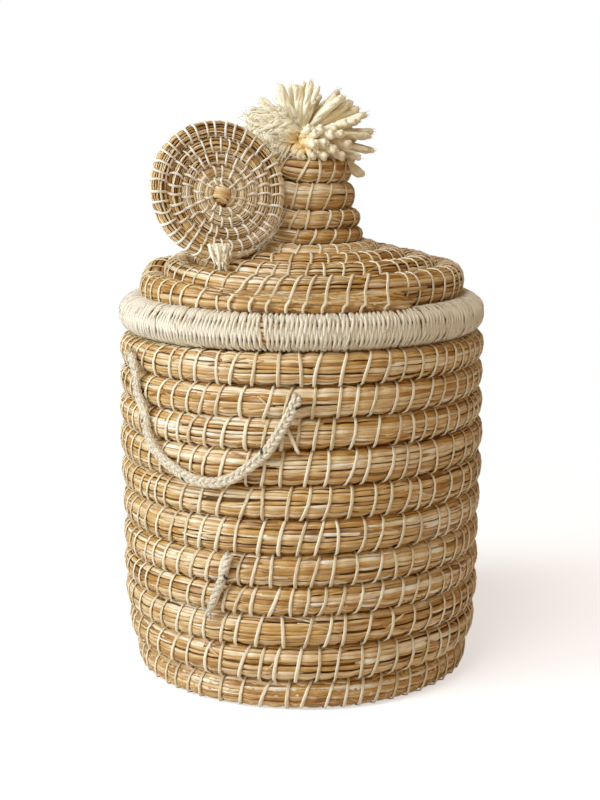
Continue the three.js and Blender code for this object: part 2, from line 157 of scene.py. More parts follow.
def gridBatch(points, tone=0.0):
    # One closed shell from a grid [ring, side, axis]: round in its second direction, capped at both ends.
    rings, sides = points.shape[:2]
    index = np.arange(rings * sides).reshape(rings, sides)
    side = np.roll(index, -1, 1)
    quads = np.stack([index[:-1], side[:-1], side[1:], index[1:]], -1).reshape(-1, 4)
    caps = np.stack([index[0, ::-1], index[-1]])
    steps = np.linalg.norm(np.diff(points.mean(1), axis=0), axis=1)
    u = np.concatenate([[0], np.cumsum(steps)])[:, None] + np.zeros(sides)
    v = np.arange(sides) / sides + np.zeros((rings, 1))
    u = np.stack([u[:-1], u[:-1], u[1:], u[1:]], -1)
    v = np.stack([v[:-1], v[:-1] + 1 / sides, v[1:] + 1 / sides, v[1:]], -1)
    flat = points.reshape(-1, 3)
    corners = flat[quads]
    outwards = corners.mean(1) - points.mean(1).repeat(sides, 0)[:len(quads)]
    normal = np.cross(corners[:, 1] - corners[:, 0], corners[:, 3] - corners[:, 0])
    if np.sum(normal * outwards) < 0:
        quads, u, v, caps = quads[:, ::-1], u[..., ::-1], v[..., ::-1], caps[:, ::-1]
    uv = np.concatenate([np.stack([u, v], -1).reshape(-1, 2), np.zeros((caps.size, 2))])
    return {"points": flat, "faces": [quads, caps], "uv": uv, "tone": np.full(len(flat), tone)}


def makePiece(name, batches, material, body, slot, nodes):
    points = np.concatenate([batch["points"] for batch in batches]) * mm
    points[:, 2] = np.maximum(points[:, 2], 0)  # nothing reaches below the flat underside
    starts, loops, offset = [], [], 0
    for batch in batches:
        for faces in batch["faces"]:
            loops.append((faces + offset).ravel())
            starts.append(np.full(len(faces), faces.shape[1]))
        offset += len(batch["points"])
    loops, totals = np.concatenate(loops), np.concatenate(starts)
    mesh = bpy.data.meshes.new(name)
    mesh.vertices.add(len(points))
    mesh.vertices.foreach_set("co", points.ravel())
    mesh.loops.add(len(loops))
    mesh.loops.foreach_set("vertex_index", loops)
    mesh.polygons.add(len(totals))
    mesh.polygons.foreach_set("loop_start", np.cumsum(totals) - totals)
    mesh.polygons.foreach_set("use_smooth", np.ones(len(totals), bool))
    mesh.update(calc_edges=True)
    uvLayer = mesh.uv_layers.new(name="lay")
    uvLayer.uv.foreach_set("vector", np.concatenate([batch["uv"] for batch in batches]).ravel())
    tone = mesh.attributes.new("tone", "FLOAT", "POINT")
    tone.data.foreach_set("value", np.concatenate([batch["tone"] for batch in batches]))
    mesh.materials.append(material)
    piece = bpy.data.objects.new(name, mesh)
    bpy.context.collection.objects.link(piece)
    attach(piece, body)
    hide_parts(*nodes)
    print(name, int(np.sum(totals - 2)), "triangles")


# Materials
def colour(red, green, blue):  # from 0 to 255 as seen on a screen
    share = np.array([red, green, blue]) / 255
    linear = np.where(share < 0.04045, share / 12.92, ((share + 0.055) / 1.055) ** 2.4)
    return (*linear, 1.0)


class Signal:
    def __init__(self, finish, socket):
        self.finish, self.socket = finish, socket

    def math(self, operation, first, second):
        return self.finish.add("Math", {"operation": operation}, {0: first, 1: second})

    def __add__(self, other):
        return self.math("ADD", self, other)

    def __mul__(self, other):
        return self.math("MULTIPLY", self, other)

    def __sub__(self, other):
        return self.math("SUBTRACT", self, other)

    def above(self, low, high):  # 0 under low, 1 over high
        return self.finish.add("MapRange", {"interpolation_type": "SMOOTHSTEP"}, {0: self, 1: low, 2: high})


class Finish:
    def __init__(self, name):
        self.material = bpy.data.materials.new(name)
        self.material.use_nodes = True
        self.tree = self.material.node_tree
        self.shader = self.tree.nodes["Principled BSDF"]

    def add(self, kind, settings=None, inputs=None, output=0):
        node = self.tree.nodes.new("ShaderNode" + kind)
        for key, value in (settings or {}).items():
            if key == "stops":
                self.setStops(node.color_ramp, value)
            else:
                setattr(node, key, value)
        for key, value in (inputs or {}).items():
            self.feed(node.inputs[key], value)
        return Signal(self, node.outputs[output])

    def setStops(self, ramp, stops):
        while len(ramp.elements) < len(stops):
            ramp.elements.new(0.5)
        for element, (place, shade) in zip(ramp.elements, stops):
            element.position, element.color = place, shade

    def feed(self, socket, value):
        if isinstance(value, Signal):
            self.tree.links.new(value.socket, socket)
        else:
            socket.default_value = value

    def mix(self, share, first, second):
        return self.add("Mix", {"data_type": "RGBA"}, {0: share, 6: first, 7: second}, 2)

    def noise(self, vector, scale, detail=2.0, rough=0.5):
        return self.add("TexNoise", {}, {"Vector": vector, "Scale": scale, "Detail": detail,
                                         "Roughness": rough})

    def lay(self):  # millimetres along a strand, the share of the way round it and the strand's tone
        uv = self.add("UVMap", {"uv_map": "lay"})
        along, around = (self.add("SeparateXYZ", {}, {0: uv}, axis) for axis in (0, 1))
        return along, around, self.add("Attribute", {"attribute_name": "tone"}, output=2)

    def streaks(self, lay, scales, detail=2.0, rough=0.5):  # noise drawn out along each strand
        places = {axis: lay[axis] * scale for axis, scale in enumerate(scales)}
        return self.noise(self.add("CombineXYZ", {}, places), 1.0, detail, rough)

    def place(self):
        return self.add("TexCoord", output=3)

    def distance(self, middle):
        return self.add("VectorMath", {"operation": "DISTANCE"}, {0: self.place(), 1: middle}, 1)

    def finish(self, base, sockets, raised, depth, strength):
        normal = self.add("Bump", {}, {"Height": raised, "Distance": depth, "Strength": strength})
        for socket, value in {"Base Color": base, "Normal": normal, **sockets}.items():
            self.feed(self.shader.inputs[socket], value)
        return self.material


def strawMaterial(name, shades, pale=None):
    # Each straw has its own tone, which changes along it, and fine grain lengthwise. Over them lie painted
    # shade along its edges, where straws meet, specks, dark splits and pale streaks. pale is a patch's
    # middle, reach and tint.
    f = Finish(name)
    lay = f.lay()
    _, around, tone = lay
    slow = f.streaks(lay, (0.075, 0.8, 37)).above(0.3, 0.7)
    fine = f.streaks(lay, (0.12, 15, 61), 3, 0.6)
    shade = tone * 0.7 + slow * 0.28 + f.noise(f.place(), 24.0) * 0.3 - 0.14
    base = f.add("ValToRGB", {"stops": shades}, {0: shade + (fine - 0.5) * 0.26})
    if pale:
        middle, reach, tint = pale
        base = f.mix(f.distance(middle).above(reach, reach * 0.4) * 0.5, base, tint)
    # Painted shade: most straws get a dark line along both edges, where they meet their neighbours.
    edge = f.add("Math", {"operation": "COSINE"}, {0: around * tau})
    shadedEdges = f.add("Math", {"operation": "SINE"}, {0: tone * 40}).above(-0.4, 0.7)
    marks = [
        ((edge * edge).above(0.72, 1.0) * shadedEdges, 0.6, colour(96, 56, 10)),
        (f.streaks(lay, (0.5, 4, 29)).above(0.72, 0.8), 0.5, colour(104, 72, 38)),
        (f.streaks(lay, (0.04, 7, 83)).above(0.56, 0.7), 0.42, colour(112, 66, 10)),
        (f.streaks(lay, (0.05, 6, 19)).above(0.56, 0.7), 0.4, colour(246, 232, 200)),
    ]
    for mask, strength, tint in marks:
        base = f.mix(mask * strength, base, tint)
    sockets = {"Roughness": fine * 0.24 + 0.31, "Specular IOR Level": 0.75}
    return f.finish(base, sockets, fine + slow * 0.4, depth=0.0003, strength=0.45)


def coreMaterial():
    f = Finish("shaded straw")
    lines = f.streaks(f.lay(), (0.06, 90), 2, 0.6)
    base = f.mix(lines.above(0.35, 0.7), colour(84, 50, 10), colour(156, 114, 50))
    return f.finish(base, {"Roughness": 0.8}, lines, depth=0.0006, strength=0.6)


strawFinish = strawMaterial("golden straw", [
    (0.0, colour(112, 66, 8)), (0.16, colour(164, 112, 30)), (0.4, colour(199, 154, 78)),
    (0.64, colour(215, 180, 122)), (0.84, colour(234, 213, 170)), (1.0, colour(245, 238, 216)),
])
coreFinish = coreMaterial()

# Kinds of yarn: the scales of their fibres, the shade that is darkest, the fibres' share of the relief,
# its depth and its strength
cotton = {"scales": (0.3, 8, 43), "dark": 0.1, "fuzz": 0.6, "depth": 0.0003, "strength": 0.6,
          "sockets": {"Roughness": 0.72, "Specular IOR Level": 0.2}}
wool = {"scales": (0.7, 9, 43), "dark": 0.05, "fuzz": 1.0, "depth": 0.0004, "strength": 0.7,
        "sockets": {"Roughness": 0.85, "Sheen Weight": 0.5, "Sheen Roughness": 0.5,
                    "Sheen Tint": colour(255, 244, 220)}}
# Painted glow: a golden tint in the hollow of the pompom's front, for light that shines through the wool
# there.
hollowGlow = {"from": 0.013, "to": 0.002, "share": 0.8, "tint": colour(236, 200, 118)}  # metres from its middle


def yarnMaterial(name, kind, pale, deep, plies, twist, fibres=0.5, relief=0.3, hollowAt=None):
    # Plies run round the yarn as slanted stripes, fibres run along it, and the tone shifts each strand.
    # The deep colour goes into the grooves between the plies, as painted shade, and where fibres and tone
    # run darker.
    # hollowAt is the middle of the golden glow painted into the hollow of the pompom's front.
    f = Finish(name)
    lay = f.lay()
    along, around, tone = lay
    stripe = f.add("Math", {"operation": "SINE"}, {0: (along * twist + around * plies) * tau}) * 0.5 + 0.5
    fibre = f.streaks(lay, kind["scales"], 3, 0.6)
    shade = stripe * relief + fibre * fibres + tone * 0.4
    base = f.mix(shade.above(kind["dark"], 0.8), deep, pale)
    if hollowAt:
        # painted golden glow, strongest at the hollow's middle
        share = f.distance(hollowAt).above(hollowGlow["from"], hollowGlow["to"]) * hollowGlow["share"]
        base = f.mix(share, base, hollowGlow["tint"])
    raised = stripe * relief * 2 + fibre * kind["fuzz"]
    return f.finish(base, kind["sockets"], raised, kind["depth"], kind["strength"])


stitchFinish = yarnMaterial("cream thread", cotton, colour(238, 226, 194), colour(197, 173, 127),
                            plies=2, twist=0.04, relief=0.25)
# The rim yarn's deep colour is warmed as painted bounce light from the straw.
rimFinish = yarnMaterial("cream yarn", cotton, colour(232, 223, 199), colour(214, 194, 156),
                         plies=2, twist=0.1, fibres=0.8, relief=0.2)
discThreadFinish = yarnMaterial("pale thread", cotton, colour(252, 247, 232), colour(226, 210, 176),
                                plies=1, twist=0.05, relief=0.2)
tackFinish = yarnMaterial("grey thread", cotton, colour(104, 98, 96), colour(54, 50, 50),
                          plies=1, twist=0.8)
tieFinish = yarnMaterial("loose wool", wool, colour(250, 243, 218), colour(236, 220, 180),
                         plies=2, twist=0.02, relief=0.1)
cordFinish = yarnMaterial("cream cotton", wool, colour(228, 216, 188), colour(176, 154, 114),
                          plies=4, twist=0.35, relief=0.5)
print("materials made")


# A coil follows ring(turn), which gives a section's radius, level, half width and half height.
# Its surface is a soft rounded section: out from the middle by cos and sin of the side's angle, each
# to a power under 1, which fills the corners. Stitches lie across it at even lengths.
def makeCoil(ring, start, end, settings, seed, basis=None):
    turns = np.linspace(start, end, int((end - start) * 400))
    radius, _, halfWidth, _ = ring(turns)
    reach = radius + halfWidth * settings["stitchSide"]
    length = np.concatenate([[0], np.cumsum(0.5 * (reach[1:] + reach[:-1]) * tau * np.diff(turns))])
    count = int(length[-1] / settings["stitchEvery"])
    rng = np.random.default_rng(seed)
    gaps = 1 + settings["uneven"] * (rng.random(count) * 2 - 1)
    places = np.concatenate([[0], np.cumsum(gaps)])
    stitches = np.interp(places / places[-1] * length[-1], length, turns)
    return {"ring": ring, "stitches": stitches, "basis": basis, **settings}


def intoFrame(coil, vectors, isPoint):
    if coil["basis"] is None:
        return vectors
    origin, axes = coil["basis"]
    return vectors @ axes + (origin if isPoint else 0)


def coilSurface(coil, turn, side, out):
    # The point at an angle round the section and a height over it, with the way along the coil and
    # the way out. side 0 faces away from the coil's axis and a quarter turn is its top.
    radius, level, halfWidth, halfHeight = coil["ring"](turn)
    cos, sin, power = np.cos(side), np.sin(side), coil["fullness"]
    across = softPower(cos, 2 - power) / (halfWidth + 0.1)
    upright = softPower(sin, 2 - power) / (halfHeight + 0.1)
    size = np.hypot(across, upright)
    across, upright = across / size, upright / size
    distance = radius + halfWidth * softPower(cos, power) + out * across
    height = level + halfHeight * softPower(sin, power) + out * upright
    if "ground" in coil:
        height = np.maximum(height, coil["ground"])
    angle = tau * turn
    eastward, forward = np.sin(angle), -np.cos(angle)
    point = np.stack([distance * eastward, distance * forward, height], -1)
    normal = np.stack([across * eastward, across * forward, upright + 0 * angle], -1)
    along = np.stack([-forward, eastward, 0 * angle], -1)
    return intoFrame(coil, point, True), intoFrame(coil, along, False), intoFrame(coil, normal, False)


def slanted(coil, turn, side):  # a stitch leans: its top lies further along the coil
    radius = np.maximum(coil["ring"](turn)[0], 8)
    return turn + coil["slant"] * np.sin(side) / (tau * radius)


def sideAngles(count, start, end, fullness):  # even steps of length round a section, from start to end
    angles = np.linspace(-math.pi, math.pi, 721)
    x, y = softPower(np.cos(angles), fullness), softPower(np.sin(angles), fullness)
    length = np.concatenate([[0], np.cumsum(np.hypot(np.diff(x), np.diff(y)))])
    low, high = np.interp(np.radians([start, end]), angles, length)
    return np.interp(low + (high - low) * (np.arange(count) + 0.5) / count, length, angles)


def layStraws(coil, straws, start, end, seed):
    # Straws lie side by side in lanes round the section. Each comes up under one stitch and goes down
    # under a later one, bulges a little between stitches, and drifts a little round the section.
    rng = np.random.default_rng(seed)
    stitches = coil["stitches"]
    first, last = np.interp([start, end], stitches, np.arange(len(stitches)))
    lanes = sideAngles(straws["lanes"], *straws["sides"], coil["fullness"])
    shortest, longest = straws["run"]
    runs = rng.integers(shortest, longest + 1, (len(lanes), int((last - first) / shortest) + 2))
    ends = np.round(first) + np.cumsum(runs, 1) - rng.integers(0, longest, (len(lanes), 1))
    batches = []
    for run in range(shortest, longest + 1):
        lane, order = np.nonzero((runs == run) & (ends > first + 0.6) & (ends - runs < last - 0.6))
        finish = ends[lane, order]
        within = np.linspace(0, run, int(run * straws["rings"]) + 1)
        within = np.concatenate([[-straws["tuck"]], within, [run + straws["tuck"]]])
        low, high = np.maximum(finish - run, first), np.minimum(finish, last)
        q = low[:, None] + within * ((high - low) / run)[:, None]
        batches.append(strawRun(coil, straws, q, lanes[lane][:, None], within / run, rng))
    return batches


def strawRun(coil, straws, q, lane, share, rng):
    # q counts stitches along the coil: a straw is nipped in where q is whole.
    tubes = len(q)
    stitches = coil["stitches"]
    turn = np.interp(q, np.arange(len(stitches)), stitches)
    spread = rng.normal(size=(4, tubes, 1))
    side = lane + straws["stray"] * (0.8 * spread[0] + 0.7 * spread[1] * (share - 0.5) * 2
                                     + 0.4 * np.sin(q * 1.3 + spread[2] * 3))
    tucked = np.ones(q.shape[1])
    tucked[[0, -1]] = 0.45
    nip = (0.5 + 0.5 * np.cos(tau * q)) ** 1.5
    lift = straws["lift"] * rng.random((tubes, 1)) + 0.1 * np.sin(q * 1.7 + spread[3] * 5)
    out = straws["raise"] + lift - coil["pinch"] * nip - 1.3 * (1 - tucked)
    point, along, normal = coilSurface(coil, slanted(coil, turn, side), side, out)
    width = straws["width"] * (0.6 + 0.85 * rng.random((tubes, 1, 1)) ** 1.3) / 2
    taper = tucked[:, None] * (1 - 0.18 * nip[..., None])
    tilt = 0.16 * rng.normal(size=(tubes, 1, 1))
    thick = straws["thick"] / 2 * (0.8 + 0.4 * rng.random((tubes, 1, 1))) * taper
    across = unit(np.cross(normal, along))
    flat = (across + normal * tilt) * width * taper
    return tubeBatch(point, flat, (normal - across * tilt) * thick, 5, tone=rng.random(tubes))


def strayStraws(coil, straws, start, end, seed):
    # Loose straws that cross the others at a small angle, for a few stitches each.
    rng, count = np.random.default_rng(seed), straws["strays"]
    first, last = np.interp([start, end], coil["stitches"], np.arange(len(coil["stitches"])))
    low, high = np.radians(straws["sides"])
    run = 0.7 + 2.2 * rng.random((count, 1))
    share = np.linspace(0, 1, 7)
    q = first + (last - first - 3) * rng.random((count, 1)) + run * share
    side = low + (high - low) * rng.random((count, 1)) + 0.5 * rng.normal(size=(count, 1)) * (share - 0.5)
    turn = np.interp(q, np.arange(len(coil["stitches"])), coil["stitches"])
    nip = (0.5 + 0.5 * np.cos(tau * q)) ** 1.5
    out = straws["raise"] + 0.75 - 0.6 * nip - 1.6 * np.abs(2 * share - 1) ** 4
    point, _, normal = coilSurface(coil, slanted(coil, turn, side), side, out)
    across = acrossOf(point, normal) * straws["width"] * 0.22
    return tubeBatch(point, across, normal * straws["thick"] * 0.25, 5, tone=rng.random(count) ** 2)


def coreBatch(coil, start, end, inset, perTurn=72, sides=14):
    turn = np.linspace(start, end, int((end - start) * perTurn))[:, None]
    side = roundSteps(sides)[None]
    return gridBatch(coilSurface(coil, turn, side, -inset)[0])


def sewStitches(coil, thread, start, end, seed, rings=15, skip=()):
    # Each stitch is a closed loop round the coil, thinner where it goes down into the course below.
    rng = np.random.default_rng(seed)
    stitches = coil["stitches"]
    stitches = stitches[(stitches > start) & (stitches < end)]
    for low, high in skip:
        stitches = stitches[(stitches < low) | (stitches > high)]
    turn = stitches[:, None]
    lean = 1 + 0.45 * rng.normal(size=turn.shape)
    side = roundSteps(rings)[None] + 0 * turn
    radius = np.maximum(coil["ring"](turn)[0], 8)
    bend = 0.35 * rng.normal(size=turn.shape) * np.cos(side * 2)
    turned = turn + (coil["slant"] * lean * np.sin(side) + bend) / (tau * radius)
    low = smoothStep((-np.sin(side) - 0.35) / 0.6)
    out = thread["lift"] + thread["bite"] * low
    point, _, normal = coilSurface(coil, turned, side, out)
    width = thread["width"] / 2 * (0.88 + 0.24 * rng.random((len(turn), 1, 1)))
    width = width * (0.95 - 0.2 * np.sin(side) - 0.3 * low)[..., None]
    across = unit(np.cross(loopAhead(point), normal))
    tone = rng.random(len(turn))
    return tubeBatch(point, across * width, normal * thread["thick"] / 2, 6, True, tone)


# Fine fibres
woolStart = 30  # where on its yarn's grain loose wool begins


def fibreTubes(point, thick, rng, start=0.0):  # fine tubes that thin towards their ends
    _, side, above = pathAxes(point)
    taper = np.linspace(1, 0.35, point.shape[1])[:, None] * thick
    taper = taper * (0.7 + 0.6 * rng.random((len(point), 1, 1)))
    fibres = tubeBatch(point, side * taper, above * taper, 3, tone=rng.random(len(point)))
    fibres["uv"][:, 0] += start
    return fibres


# Body
bodyCoil = {
    "gap": 0.1, "turnGap": 0.6, "wallRadius": 108, "width": 18.4,
    "floorTurns": 4, "floorStart": 4.6, "knotRadius": 6.2,
    "courseHeights": [17.7, 20.3, 18.6, 16.5, 18.0, 19.7, 18.6, 20.2, 17.5, 17.5, 17.4],
    "bellyRise": 140, "bellyDraw": 3.2, "footTuck": 9, "footTuckRise": 14,
    "stepFrom": 0.3, "stepTo": 0.7, "firstClimbTo": 0.5, "drift": 0.35, "wallEnd": 0.38,
    "seed": 11,
}
bodySewing = {"stitchEvery": 11.4, "stitchSide": 1, "uneven": 0.3, "slant": 1.9, "pinch": 0.95,
              "fullness": 0.8, "ground": 0.0}
courseLevels = np.concatenate([[0], np.cumsum(bodyCoil["courseHeights"])])


def wallOutside(level):
    belly = np.maximum(0, 1 - level / bodyCoil["bellyRise"])
    tuck = bodyCoil["footTuck"] * np.exp(-level / bodyCoil["footTuckRise"])
    return bodyCoil["wallRadius"] - bodyCoil["bellyDraw"] * belly ** 2 - tuck


def courseUnderside(turn):
    c = bodyCoil
    first = stepped(turn, c["stepFrom"], c["firstClimbTo"], 0)
    later = stepped(turn, c["stepFrom"], c["stepTo"], c["drift"])
    return listAt(courseLevels, np.where(turn < 1, first, later))


def bodyRing(turn):
    c = bodyCoil
    footOut = wallOutside(c["courseHeights"][0] / 2)
    footIn = footOut - c["width"] - c["turnGap"] / 2
    pitch = (footIn - c["knotRadius"]) / c["floorTurns"]
    outer, inner = (footIn + pitch * stepped(at, c["stepFrom"], c["stepTo"], 0) for at in (turn + 1, turn))
    outer, inner = np.minimum(outer - c["gap"], footOut), np.maximum(inner + c["gap"], c["knotRadius"])
    floorHalf = (outer - inner) / 2
    floorTop = np.minimum(c["courseHeights"][0] - c["gap"], 4 * floorHalf)
    low = courseUnderside(turn) + c["gap"]
    high = np.minimum(courseUnderside(turn + 1), courseLevels[-1]) - c["gap"]
    wallHeight = (high - low) / 2
    wallHalf = np.minimum(c["width"] / 2, 2 * wallHeight)
    sway = 0.45 * np.sin(turn * 11.3 + 1) + 0.3 * np.sin(turn * 31.7 + 2)
    radius = np.where(turn < 0, (outer + inner) / 2, wallOutside((low + high) / 2) - wallHalf + sway)
    level = np.where(turn < 0, floorTop / 2, (low + high) / 2)
    halfWidth = np.where(turn < 0, floorHalf, wallHalf)
    return radius, level, halfWidth, np.where(turn < 0, floorTop / 2, wallHeight)


bodyStart, bodyEnd = -bodyCoil["floorStart"], len(bodyCoil["courseHeights"]) - bodyCoil["wallEnd"]
body = makeCoil(bodyRing, bodyStart, bodyEnd, bodySewing, bodyCoil["seed"])
outsideStraw = {"lanes": 14, "sides": (-84, 88), "run": (3, 9), "rings": 3, "width": 3.05, "thick": 1.25,
                "lift": 0.24, "raise": -0.2, "stray": 0.055, "tuck": 0.3, "strays": 210}
insideStraw = {**outsideStraw, "lanes": 8, "sides": (95, 180), "run": (4, 10), "rings": 1, "width": 3.6}
insideLowStraw = {**insideStraw, "lanes": 6, "sides": (-180, -95)}
floorStraw = {**outsideStraw, "lanes": 24, "sides": (-180, 180), "rings": 2, "width": 2.9}
wallThread = {"width": 2.1, "thick": 0.95, "lift": 0.35, "bite": 1.2}
wallMiddle = 5.5  # turns up the wall where the straw is parted into two pieces
bodyOwner = ("basket", "straw", ["body_coil"])
makePiece("bodyCore", [coreBatch(body, bodyStart, bodyEnd, inset=1.0)], coreFinish, *bodyOwner)
makePiece("lowerStraw", layStraws(body, outsideStraw, -0.6, wallMiddle, 21)
          + [strayStraws(body, outsideStraw, 0, wallMiddle, 25)], strawFinish, *bodyOwner)
makePiece("upperStraw", layStraws(body, outsideStraw, wallMiddle, bodyEnd, 26)
          + [strayStraws(body, outsideStraw, wallMiddle, bodyEnd, 27)], strawFinish, *bodyOwner)
makePiece("wallLining", layStraws(body, insideStraw, 0.3, bodyEnd, 22)
          + layStraws(body, insideLowStraw, 0.3, bodyEnd, 23), strawFinish, *bodyOwner)
makePiece("floorStraw", layStraws(body, floorStraw, bodyStart, 0.45, 24), strawFinish, *bodyOwner)
makePiece("bodyStitches", [sewStitches(body, wallThread, bodyStart, bodyEnd, 31)], stitchFinish, *bodyOwner)


# Wound knots
def woundKnot(centre, radius, back, rise, turns, thick, seed):
    # A spiral of straw laid over a low dome.
    rng = np.random.default_rng(seed)
    share = np.linspace(0, 1, int(turns * 16))
    angle = tau * turns * share
    distance = radius * share
    height = rise * np.sqrt(np.maximum(0, 1 - 0.85 * share ** 2)) + 0.2 * rng.normal(size=len(share))
    local = np.stack([distance * np.cos(angle), distance * np.sin(angle), height], -1)
    outward = unit(local * np.array([1, 1, 0]) / radius ** 2 + np.array([0, 0, 1 / rise]))
    across = unit(np.cross(unit(np.gradient(local, axis=0)), outward))
    spiral = [x[None] for x in (local + centre, across * thick * 0.6, outward * thick * 0.5)]
    profile = np.array([[0.2, rise - 0.4], [0.7, rise * 0.75], [1, rise * 0.3], [1, back], [0.2, back]])
    return [tubeBatch(*spiral, 6, tone=0.5 + 0 * share[None]),
            turnedBody(profile * [radius, 1], np.eye(3), centre)]


def turnedBody(profile, axes, centre):  # [distance, height] pairs carried round the axis
    turn = roundSteps(24)
    distance, height = profile.T
    body = np.stack([np.outer(distance, np.cos(turn)), np.outer(distance, np.sin(turn)),
                     height[:, None] + 0 * turn], -1)
    return gridBatch(body @ axes + centre, 0.4)


def woundBall(centre, axes, radius, proud, tilt, wraps, thick, rng):
    # A ball of wrapped grass: circles side by side across the tilted way, smaller towards its ends.
    share = np.linspace(-0.86, 0.86, wraps)[:, None]
    angle = roundSteps(26)[None]
    turned = math.radians(tilt) + 0.1 * rng.normal(size=(wraps, 1))
    size = radius * np.sqrt(1 - share ** 2)
    along, over = size * np.cos(angle), proud * np.sqrt(1 - share ** 2) * np.sin(angle)
    offset = share * radius + 0.35 * np.sin(angle * 2 + 3 * share)
    local = np.stack([along * np.cos(turned) - offset * np.sin(turned),
                      along * np.sin(turned) + offset * np.cos(turned), over], -1)
    point = local @ axes + centre
    outward = unit(point - centre)
    across = unit(np.cross(loopAhead(point), outward))
    tone = 0.25 + 0.6 * rng.random(wraps)
    return tubeBatch(point, across * thick * 0.62, outward * thick * 0.42, 6, True, tone)


knotLow, knotHigh = cadCorners("floor_knot")
floorKnot = woundKnot(np.array([0, 0, knotLow[2]]), bodyCoil["knotRadius"], back=0.3, rise=knotHigh[2],
                      turns=3, thick=2.6, seed=41)
makePiece("floorKnot", floorKnot, strawFinish, "basket", "straw_knot", ["floor_knot"])


# Rim: a bundle whipped with one long yarn
rimLow, rimHigh = cadCorners("whipped_rim")
rim = {"wraps": 258, "perWrap": 28, "plyWidth": 1.94, "plyThick": 1.5, "plyApart": 0.66, "plyTurns": 3.5,
       "halfWidth": 11.1, "halfHeight": (rimHigh[2] - rimLow[2]) / 2, "level": (rimHigh[2] + rimLow[2]) / 2,
       "hairs": 700, "seed": 51}
rimOwner = ("basket", "cream_yarn", ["whipped_rim"])


def rimRing(turn):
    zero = 0 * turn
    radius = rimHigh[0] - rim["halfWidth"] - 0.5
    return radius + zero, rim["level"] + zero, rim["halfWidth"] - 1.2 + zero, rim["halfHeight"] - 1.2 + zero


def whipRim():
    # Two plies twist round each other while the yarn goes round the bundle once a wrap and moves on
    # along the rim; wraps bunch and lean.
    rng = np.random.default_rng(rim["seed"])
    wraps, per = rim["wraps"], rim["perWrap"]
    spacing = 1 + 0.08 * rng.normal(size=wraps) + (rng.random(wraps) < 0.07) * 0.7
    edges = np.concatenate([[0], np.cumsum(spacing)]) / np.sum(spacing)
    w = np.linspace(0, wraps, wraps * per, endpoint=False)
    side = -tau * w
    number = np.floor(w).astype(int) % wraps
    lean = (0.22 * rng.normal(size=wraps))[number] * np.sin(side) / wraps
    turn = np.interp(w, np.arange(wraps + 1), edges) + lean
    out = 0.85 + 0.12 * rng.normal(size=wraps)[number]
    point, along, normal = coilSurface(rimBundle, turn, side, out)
    phase = tau * rim["plyTurns"] * w[None] + np.array([[0], [math.pi]])
    point = (point + along * (rim["plyApart"] * np.cos(phase))[..., None]
             + normal * (rim["plyApart"] * 0.6 * np.sin(phase))[..., None])
    across = unit(np.cross(loopAhead(point), normal[None])) * rim["plyWidth"] / 2
    above = np.broadcast_to(normal, point.shape) * rim["plyThick"] / 2
    tone = np.stack([rng.random(wraps)[number], rng.random(wraps)[number]])
    return tubeBatch(point, across, above, 5, True, tone)


def rimFuzz(seed):
    # Fine hairs on the yarn that run with the wraps, more of them at the left and right.
    rng, count = np.random.default_rng(seed), rim["hairs"]
    share = np.linspace(-0.5, 0.5, 5)[None]
    turn = rng.random((count, 1))
    turn = turn - 0.055 * np.sin(2 * tau * turn) + rng.normal(size=(count, 1)) * 0.008 * share
    side = rng.uniform(-1.7, 2.6, (count, 1)) + (0.4 + 0.5 * rng.random((count, 1))) * share
    point = coilSurface(rimBundle, turn, side, 1.75 + 0.4 * rng.random((count, 1)) * np.cos(share * 3))[0]
    return fibreTubes(point, 0.13, rng)


rimBundle = makeCoil(rimRing, 0, 1, {**bodySewing, "fullness": 0.9}, 52)
makePiece("rimBundle", [coreBatch(rimBundle, 0, 1, inset=0.6, perTurn=144, sides=20)], strawFinish,
          *rimOwner)
rimStraw = {**outsideStraw, "lanes": 26, "sides": (-180, 180), "rings": 1, "width": 2.6, "raise": 0.1}
makePiece("rimStraw", layStraws(rimBundle, rimStraw, 0, 1, 53), strawFinish, "basket", "straw",
          ["whipped_rim"])
makePiece("rimYarn", [whipRim(), rimFuzz(54)], rimFinish, *rimOwner)


# Lid
lidCoil = {
    "radii": [22.0, 23.5, 27.0, 28.0, 38.2, 51.9, 68.8, 86.4],
    "levels": [64.3, 49.2, 36.2, 26.6, 16.1, 10.5, 5.9, 0],
    "halfWidths": [7.0, 7.2, 7.0, 7.2, 7.2, 9.3, 9.5, 8.8],
    "halfHeights": [6.8, 7.4, 4.9, 4.1, 6.0, 7.8, 8.6, 9.5],
    "start": 0.12, "stepFrom": 0.72, "stepTo": 1, "drift": 0.06, "tailReach": 12.5, "tailEnd": 0.1,
    "tailBlunt": 0.06, "seed": 12,
}
lidSewing = {"stitchEvery": 11.0, "stitchSide": 1, "uneven": 0.25, "slant": 1.8, "pinch": 0.8,
             "fullness": 0.85}
neckMouth = cadCorners("lid_coil")[1][2]
lidSeat = neckMouth - lidCoil["levels"][0] - lidCoil["halfHeights"][0]
lidOuter = len(lidCoil["radii"]) - 1


def rimTopAt(radius):
    across = np.minimum(1, np.abs(radius - rimHigh[0] + rim["halfWidth"]) / rim["halfWidth"])
    return rim["level"] + rim["halfHeight"] * np.sqrt(1 - across ** 2)


